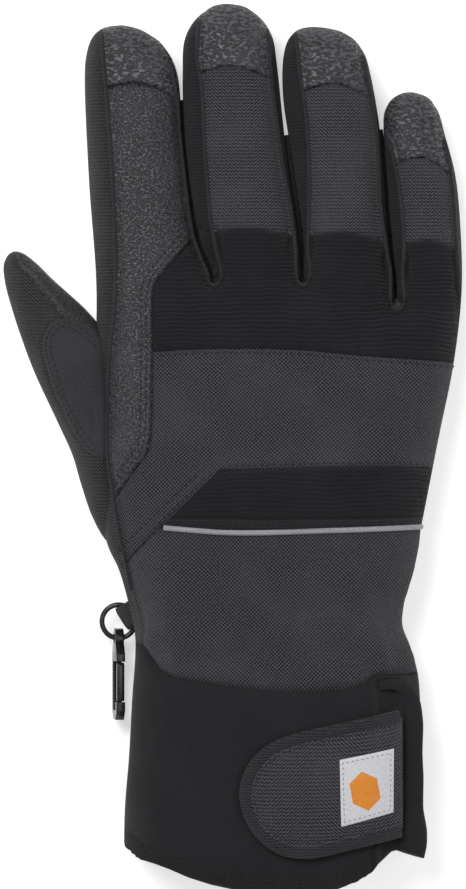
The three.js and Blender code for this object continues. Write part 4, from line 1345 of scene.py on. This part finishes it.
# ---- piping, seam cords and stitches ------------------------------------------------------------

CORD_RADIUS = 0.62
PIPING_RADIUS = 0.95


def draped(tree, line, lift):
    """A line laid on a surface. Ends that miss the surface are dropped."""
    out = []
    for x, y in line:
        point, _ = on_surface(tree, x, y, lift)
        if point is not None:
            out.append(point)
    return np.array(out)


def make_piping():
    """The reflective cord, laid straight over the small rises of the cloth under it."""
    line = part_of(piping_line, lambda x, y: (x > -23.6) & (x < 64.9))
    tracks = [draped(back_tree, beside(line, side), 0.0) for side in (-0.8, 0, 0.8)]
    count = min(len(track) for track in tracks)
    path = tracks[1][:count]
    path[:, 2] = np.max([track[:count, 2] for track in tracks], axis=0) + PIPING_RADIUS * 0.55
    for _ in range(6):
        path[1:-1, 2] = (path[:-2, 2] + path[1:-1, 2] * 2 + path[2:, 2]) / 4
    piece = make_piece("reflective_cord", *tube(path, PIPING_RADIUS, 14), "piping", "reflective")
    attach(piece, "hand", "reflective_piping")


def cord(path):
    """A raised cord whose ends sink into the seam."""
    count = len(path)
    end = np.minimum(np.arange(count), np.arange(count)[::-1])
    return tube(path, CORD_RADIUS * (0.35 + 0.65 * smooth(end / 2.5)), 8)


def make_cords():
    """The raised seams along the fingers and round the foot of each gap."""
    runs = []
    for finger, line in [*left_seams.items(), *right_seams.items(), ("index", index_edge)]:
        gap, _ = edge_distance(line)
        clear = np.min([np.linalg.norm(line - foot, axis=1) for foot in gap_feet], axis=0) > CORD_JOIN
        line = line[inside(line, hand_loop) & (gap > 0.9) & clear]
        y = line[:, 1]
        split, low = SPLIT_Y[finger], CREASE_START[finger]
        runs += [(finger + "_tip", line[y >= split - 1.6], 0.12),
                 (finger + "_base", line[(y < split + 1.6) & (y > low - 0.8)], 0.12),
                 ("hand", line[(y <= low + 0.8) & (y > -50)], 0.12)]
    for (left, right), line in crotches.items():
        y = line[:, 1]
        first = np.arange(len(line)) < np.argmin(y)
        low = CREASE_START[right]
        runs += [(left + "_base", line[first & (y > low - 0.5)], 0.15),
                 (right + "_base", line[~first & (y > low - 0.5)], 0.15), ("hand", line[y < low + 0.5], 0.15)]
    parts = {}
    for segment, line, lift in runs:
        path = draped(back_tree, line, lift)
        if len(path) > 3:
            parts.setdefault(segment, []).append(cord(path))
    for segment, found in parts.items():
        attach(make_piece(segment + "_seam_cords", *merged(found), "cord", "twill"), segment)


# The side strips that close the gaps between the fingers: middle line and half-width at each end.
GAP_WALLS = {
    "middle": ([(-6.3, 57), (-11.3, 70), (-15.5, 98), (-16.8, 118)], 1.0, 0.85),
    "ring": ([(24.1, 57.2), (23.7, 67), (21.7, 84), (19.3, 101), (18.9, 106)], 1.05, 1.15),
    "little": ([(56, 48.8), (55.1, 60), (52.8, 85), (50.9, 108)], 0.65, 0.65),
}
WALL_MIDDLE_Z = 11
WALL_HEIGHT = 4.2  # times its thickness


def make_gap_walls():
    """One wall in each gap, in two parts divided at the joint of the finger on its right."""
    for finger, (points, foot_half, top_half) in GAP_WALLS.items():
        line = spline(points)
        half = np.interp(line[:, 1], [line[0, 1], line[-1, 1]], [foot_half, top_half])
        path = np.column_stack([line, np.full(len(line), WALL_MIDDLE_Z)])
        split = SPLIT_Y[finger]
        for segment, own in (("_base", line[:, 1] < split + 0.6), ("_tip", line[:, 1] > split - 0.6)):
            wall = tube(path[own], half[own], 12, True, WALL_HEIGHT)
            piece = make_piece(finger + segment + "_gap_wall", *wall, "dark_cloth", "twill")
            attach(piece, finger + segment)


STITCH_PITCH = 2.1
STITCH_LENGTH = 1.45
STITCH_RADIUS = 0.27


def stitch(point, along, normal, length, radius):
    """One stitch: a short round-ended length of thread, sunk at its ends."""
    side = np.cross(normal, along)
    rings = []
    for place, size in ((-0.5, 0.25), (-0.32, 0.9), (0, 1), (0.32, 0.9), (0.5, 0.25)):
        sink = -radius * 1.1 * (2 * place) ** 2
        centre = point + along * place * length + normal * sink
        for k in range(6):
            a = k * math.pi / 3
            rings.append(centre + (side * math.cos(a) + normal * math.sin(a)) * radius * size)
    return rings, ring_faces(5, 6, True, True)


def stitches_along(tree, line, pitch=STITCH_PITCH, length=STITCH_LENGTH, radius=STITCH_RADIUS):
    """Stitches evenly spaced on a surface, each with the place it stands at."""
    lengths = np.concatenate([[0], np.cumsum(np.linalg.norm(np.diff(line, axis=0), axis=1))])

    def at_length(length):
        return np.array([np.interp(length, lengths, line[:, k]) for k in (0, 1)])

    for at in np.arange(pitch / 2, lengths[-1], pitch):
        x, y = at_length(at)
        point, normal = on_surface(tree, x, y, radius * 0.45)
        if point is None:
            continue
        along = np.append(at_length(at + 0.4) - at_length(at - 0.4), 0)
        along -= normal * along.dot(normal)
        along /= np.linalg.norm(along) + 1e-9
        yield (x, y), stitch(point, along, normal, length, radius)


def make_stitches():
    """The stitches of every sewn line, gathered by the part of the glove that they lie on."""
    groups = {}
    for line in STITCHED:
        for (x, y), part in stitches_along(back_tree, line):
            segment = "wrist" if y < -45 else segment_at(np.array([x]), np.array([y]))[0]
            groups.setdefault(segment, []).append(part)
    for line in thumb_stitches:
        for _, part in stitches_along(thumb_tree, line):
            groups.setdefault("thumb", []).append(part)
    strap_tree = tree_of("strap_cloth")
    groups["strap"] = [part for _, part in stitches_along(strap_tree, strap_stitches, 1.9, 1.3, 0.17)]
    for segment, parts in groups.items():
        attach(make_piece(segment + "_stitches", *merged(parts), "thread", "binding"), segment)
    label_tree = tree_of("label_cloth")
    border = corners_loop([tuple(np.array(c) * 0.88 + np.array(LABEL_CENTRE) * 0.12) for c in LABEL_CORNERS])
    white = [part for _, part in stitches_along(label_tree, closed(border), 1.7, 1.1, 0.17)]
    attach(make_piece("label_stitches", *merged(white), "white_thread", "label"), "strap")


def tree_of(name):
    """The surface of a piece, for laying things on."""
    mesh = bpy.data.objects[name].data
    vertices = [v.co / MM for v in mesh.vertices]
    return BVHTree.FromPolygons(vertices, [tuple(p.vertices) for p in mesh.polygons])


make_piping()
make_cords()
make_gap_walls()
make_stitches()

# ---- carry clip ---------------------------------------------------------------------------------

RING_CENTRE = np.array([-38.8, -60, 10])
RING_RADIUS = 5.7
WIRE_RADIUS = 0.9
LOOP_ANGLE = math.radians(212.2)
LOOP_WIDTH = 8.4
LOOP_THICKNESS = 0.9
LOOP_RADIUS = 2.35
LOOP_END = -3.7
HOOK_TILT = math.radians(9)
HOOK_EYE_Y = -65.7


def make_webbing():
    """The folded tape that holds the ring, sewn in at both ends."""
    outward = np.array([math.cos(LOOP_ANGLE), math.sin(LOOP_ANGLE), 0])
    across = np.array([-outward[1], outward[0], 0])
    profile = [(s, LOOP_RADIUS) for s in np.linspace(-13, LOOP_END, 7)]
    bend = np.linspace(math.pi / 2, -math.pi / 2, 11)[1:]
    profile += [(LOOP_END + LOOP_RADIUS * math.cos(a), LOOP_RADIUS * math.sin(a)) for a in bend]
    profile += [(s, -LOOP_RADIUS) for s in np.linspace(LOOP_END, -13, 7)[1:]]
    columns = 9
    vertices, uv = [], []
    for i, (s, z) in enumerate(profile):
        for w in np.linspace(-0.5, 0.5, columns):
            along = outward * (s - 0.4 * (2 * w) ** 4)
            vertices.append(RING_CENTRE + along + across * w * LOOP_WIDTH + (0, 0, z))
            uv.append((i * 1.1, w * LOOP_WIDTH))
    faces = ring_faces(len(profile), columns, False)
    piece = make_piece("webbing_tape", vertices, faces, "webbing", "webbing", uv)
    thick = piece.modifiers.new("thickness", "SOLIDIFY")
    thick.thickness = LOOP_THICKNESS * MM
    thick.offset = 0
    attach(piece, "hand", "webbing_loop")


def make_ring():
    """The round wire ring."""
    turns = np.linspace(0, 2 * math.pi, 73)[:-1]
    sides = 16
    vertices = []
    for a in turns:
        for k in range(sides):
            b = 2 * math.pi * k / sides
            reach = RING_RADIUS + WIRE_RADIUS * math.cos(b)
            rise = WIRE_RADIUS * math.sin(b)
            vertices.append(RING_CENTRE + (reach * math.cos(a), reach * math.sin(a), rise))
    faces = ring_faces(len(turns), sides)
    last = (len(turns) - 1) * sides
    faces += [[last + k, last + (k + 1) % sides, (k + 1) % sides, k] for k in range(sides)]
    attach(make_piece("clip_ring_wire", vertices, faces, "metal", "plastic"), "clip_ring", "clip_ring")


def make_moulding(node, body):
    """The clip's plastic pieces, with their edges rounded and turned a little on the ring."""
    mesh = frame["nodes"][node].data.copy()
    mesh.name = node + "_moulding"
    work = bmesh.new()
    work.from_mesh(mesh)
    bmesh.ops.remove_doubles(work, verts=work.verts, dist=1e-6)
    bmesh.ops.dissolve_limit(work, angle_limit=math.radians(2), verts=work.verts, edges=work.edges)
    eye = Vector((RING_CENTRE[0], HOOK_EYE_Y, RING_CENTRE[2])) * MM
    turn = Matrix.Translation(eye) @ Matrix.Rotation(HOOK_TILT, 4, "Y") @ Matrix.Translation(-eye)
    work.transform(turn)
    work.to_mesh(mesh)
    work.free()
    mesh.materials.clear()
    mesh.materials.append(MATERIALS["plastic"])
    piece = place(node + "_moulding", mesh)
    edges = piece.modifiers.new("edges", "BEVEL")
    edges.width = 0.5 * MM
    edges.segments = 3
    edges.limit_method = "ANGLE"
    edges.angle_limit = math.radians(35)
    mesh.polygons.foreach_set("use_smooth", np.ones(len(mesh.polygons), bool))
    attach(piece, body, node)


make_webbing()
make_ring()
make_moulding("hook_frame", "snap_hook")
make_moulding("hook_gate", "hook_gate")

# ---- camera, light and floor --------------------------------------------------------------------


def area_light(name, at, size, power):
    """A round lamp aimed at the middle of the glove."""
    light = bpy.data.lights.new(name, "AREA")
    light.shape = "DISK"
    light.size = size
    light.energy = power
    holder = place(name, light)
    holder.location = at
    holder.rotation_euler = (-Vector(at)).to_track_quat("-Z", "Y").to_euler()


SEEN_HEIGHT = 302.3
CAMERA_DISTANCE = 1500
LOOK_AT = (0.3, 0.5, 18)
FLOOR_HALF = 3.0  # metres


def set_stage():
    camera = bpy.data.cameras.new("camera")
    holder = place("camera", camera)
    camera.sensor_fit = "VERTICAL"
    camera.sensor_height = 36
    camera.lens = camera.sensor_height * CAMERA_DISTANCE / SEEN_HEIGHT
    camera.clip_start = 0.1
    holder.location = (Vector(LOOK_AT) + Vector((0, 0, CAMERA_DISTANCE))) * MM
    bpy.context.scene.camera = holder

    floor_mesh = bpy.data.meshes.new("floor")
    corners = [(-1, -1), (1, -1), (1, 1), (-1, 1)]
    floor_mesh.from_pydata([(x * FLOOR_HALF, y * FLOOR_HALF, 0) for x, y in corners], [], [(0, 1, 2, 3)])
    floor = place("floor", floor_mesh)
    paint = bpy.data.materials.new("floor_paint")
    paint.use_nodes = True
    shader = paint.node_tree.nodes["Principled BSDF"]
    shader.inputs["Base Color"].default_value = (0.93, 0.93, 0.93, 1)
    shader.inputs["Roughness"].default_value = 0.9
    shader.inputs["Emission Color"].default_value = (1, 1, 1, 1)
    shader.inputs["Emission Strength"].default_value = 0.5
    floor_mesh.materials.append(paint)

    world = bpy.data.worlds.new("studio")
    world.use_nodes = True
    world.node_tree.nodes["Background"].inputs[0].default_value = (1, 1, 1, 1)
    world.node_tree.nodes["Background"].inputs[1].default_value = 0.33
    bpy.context.scene.world = world
    bpy.context.scene.view_settings.view_transform = "Standard"
    area_light("key", (-0.32, 0.42, 1.15), 0.5, 8)
    area_light("fill", (0.5, -0.1, 1.1), 0.8, 2.5)


set_stage()
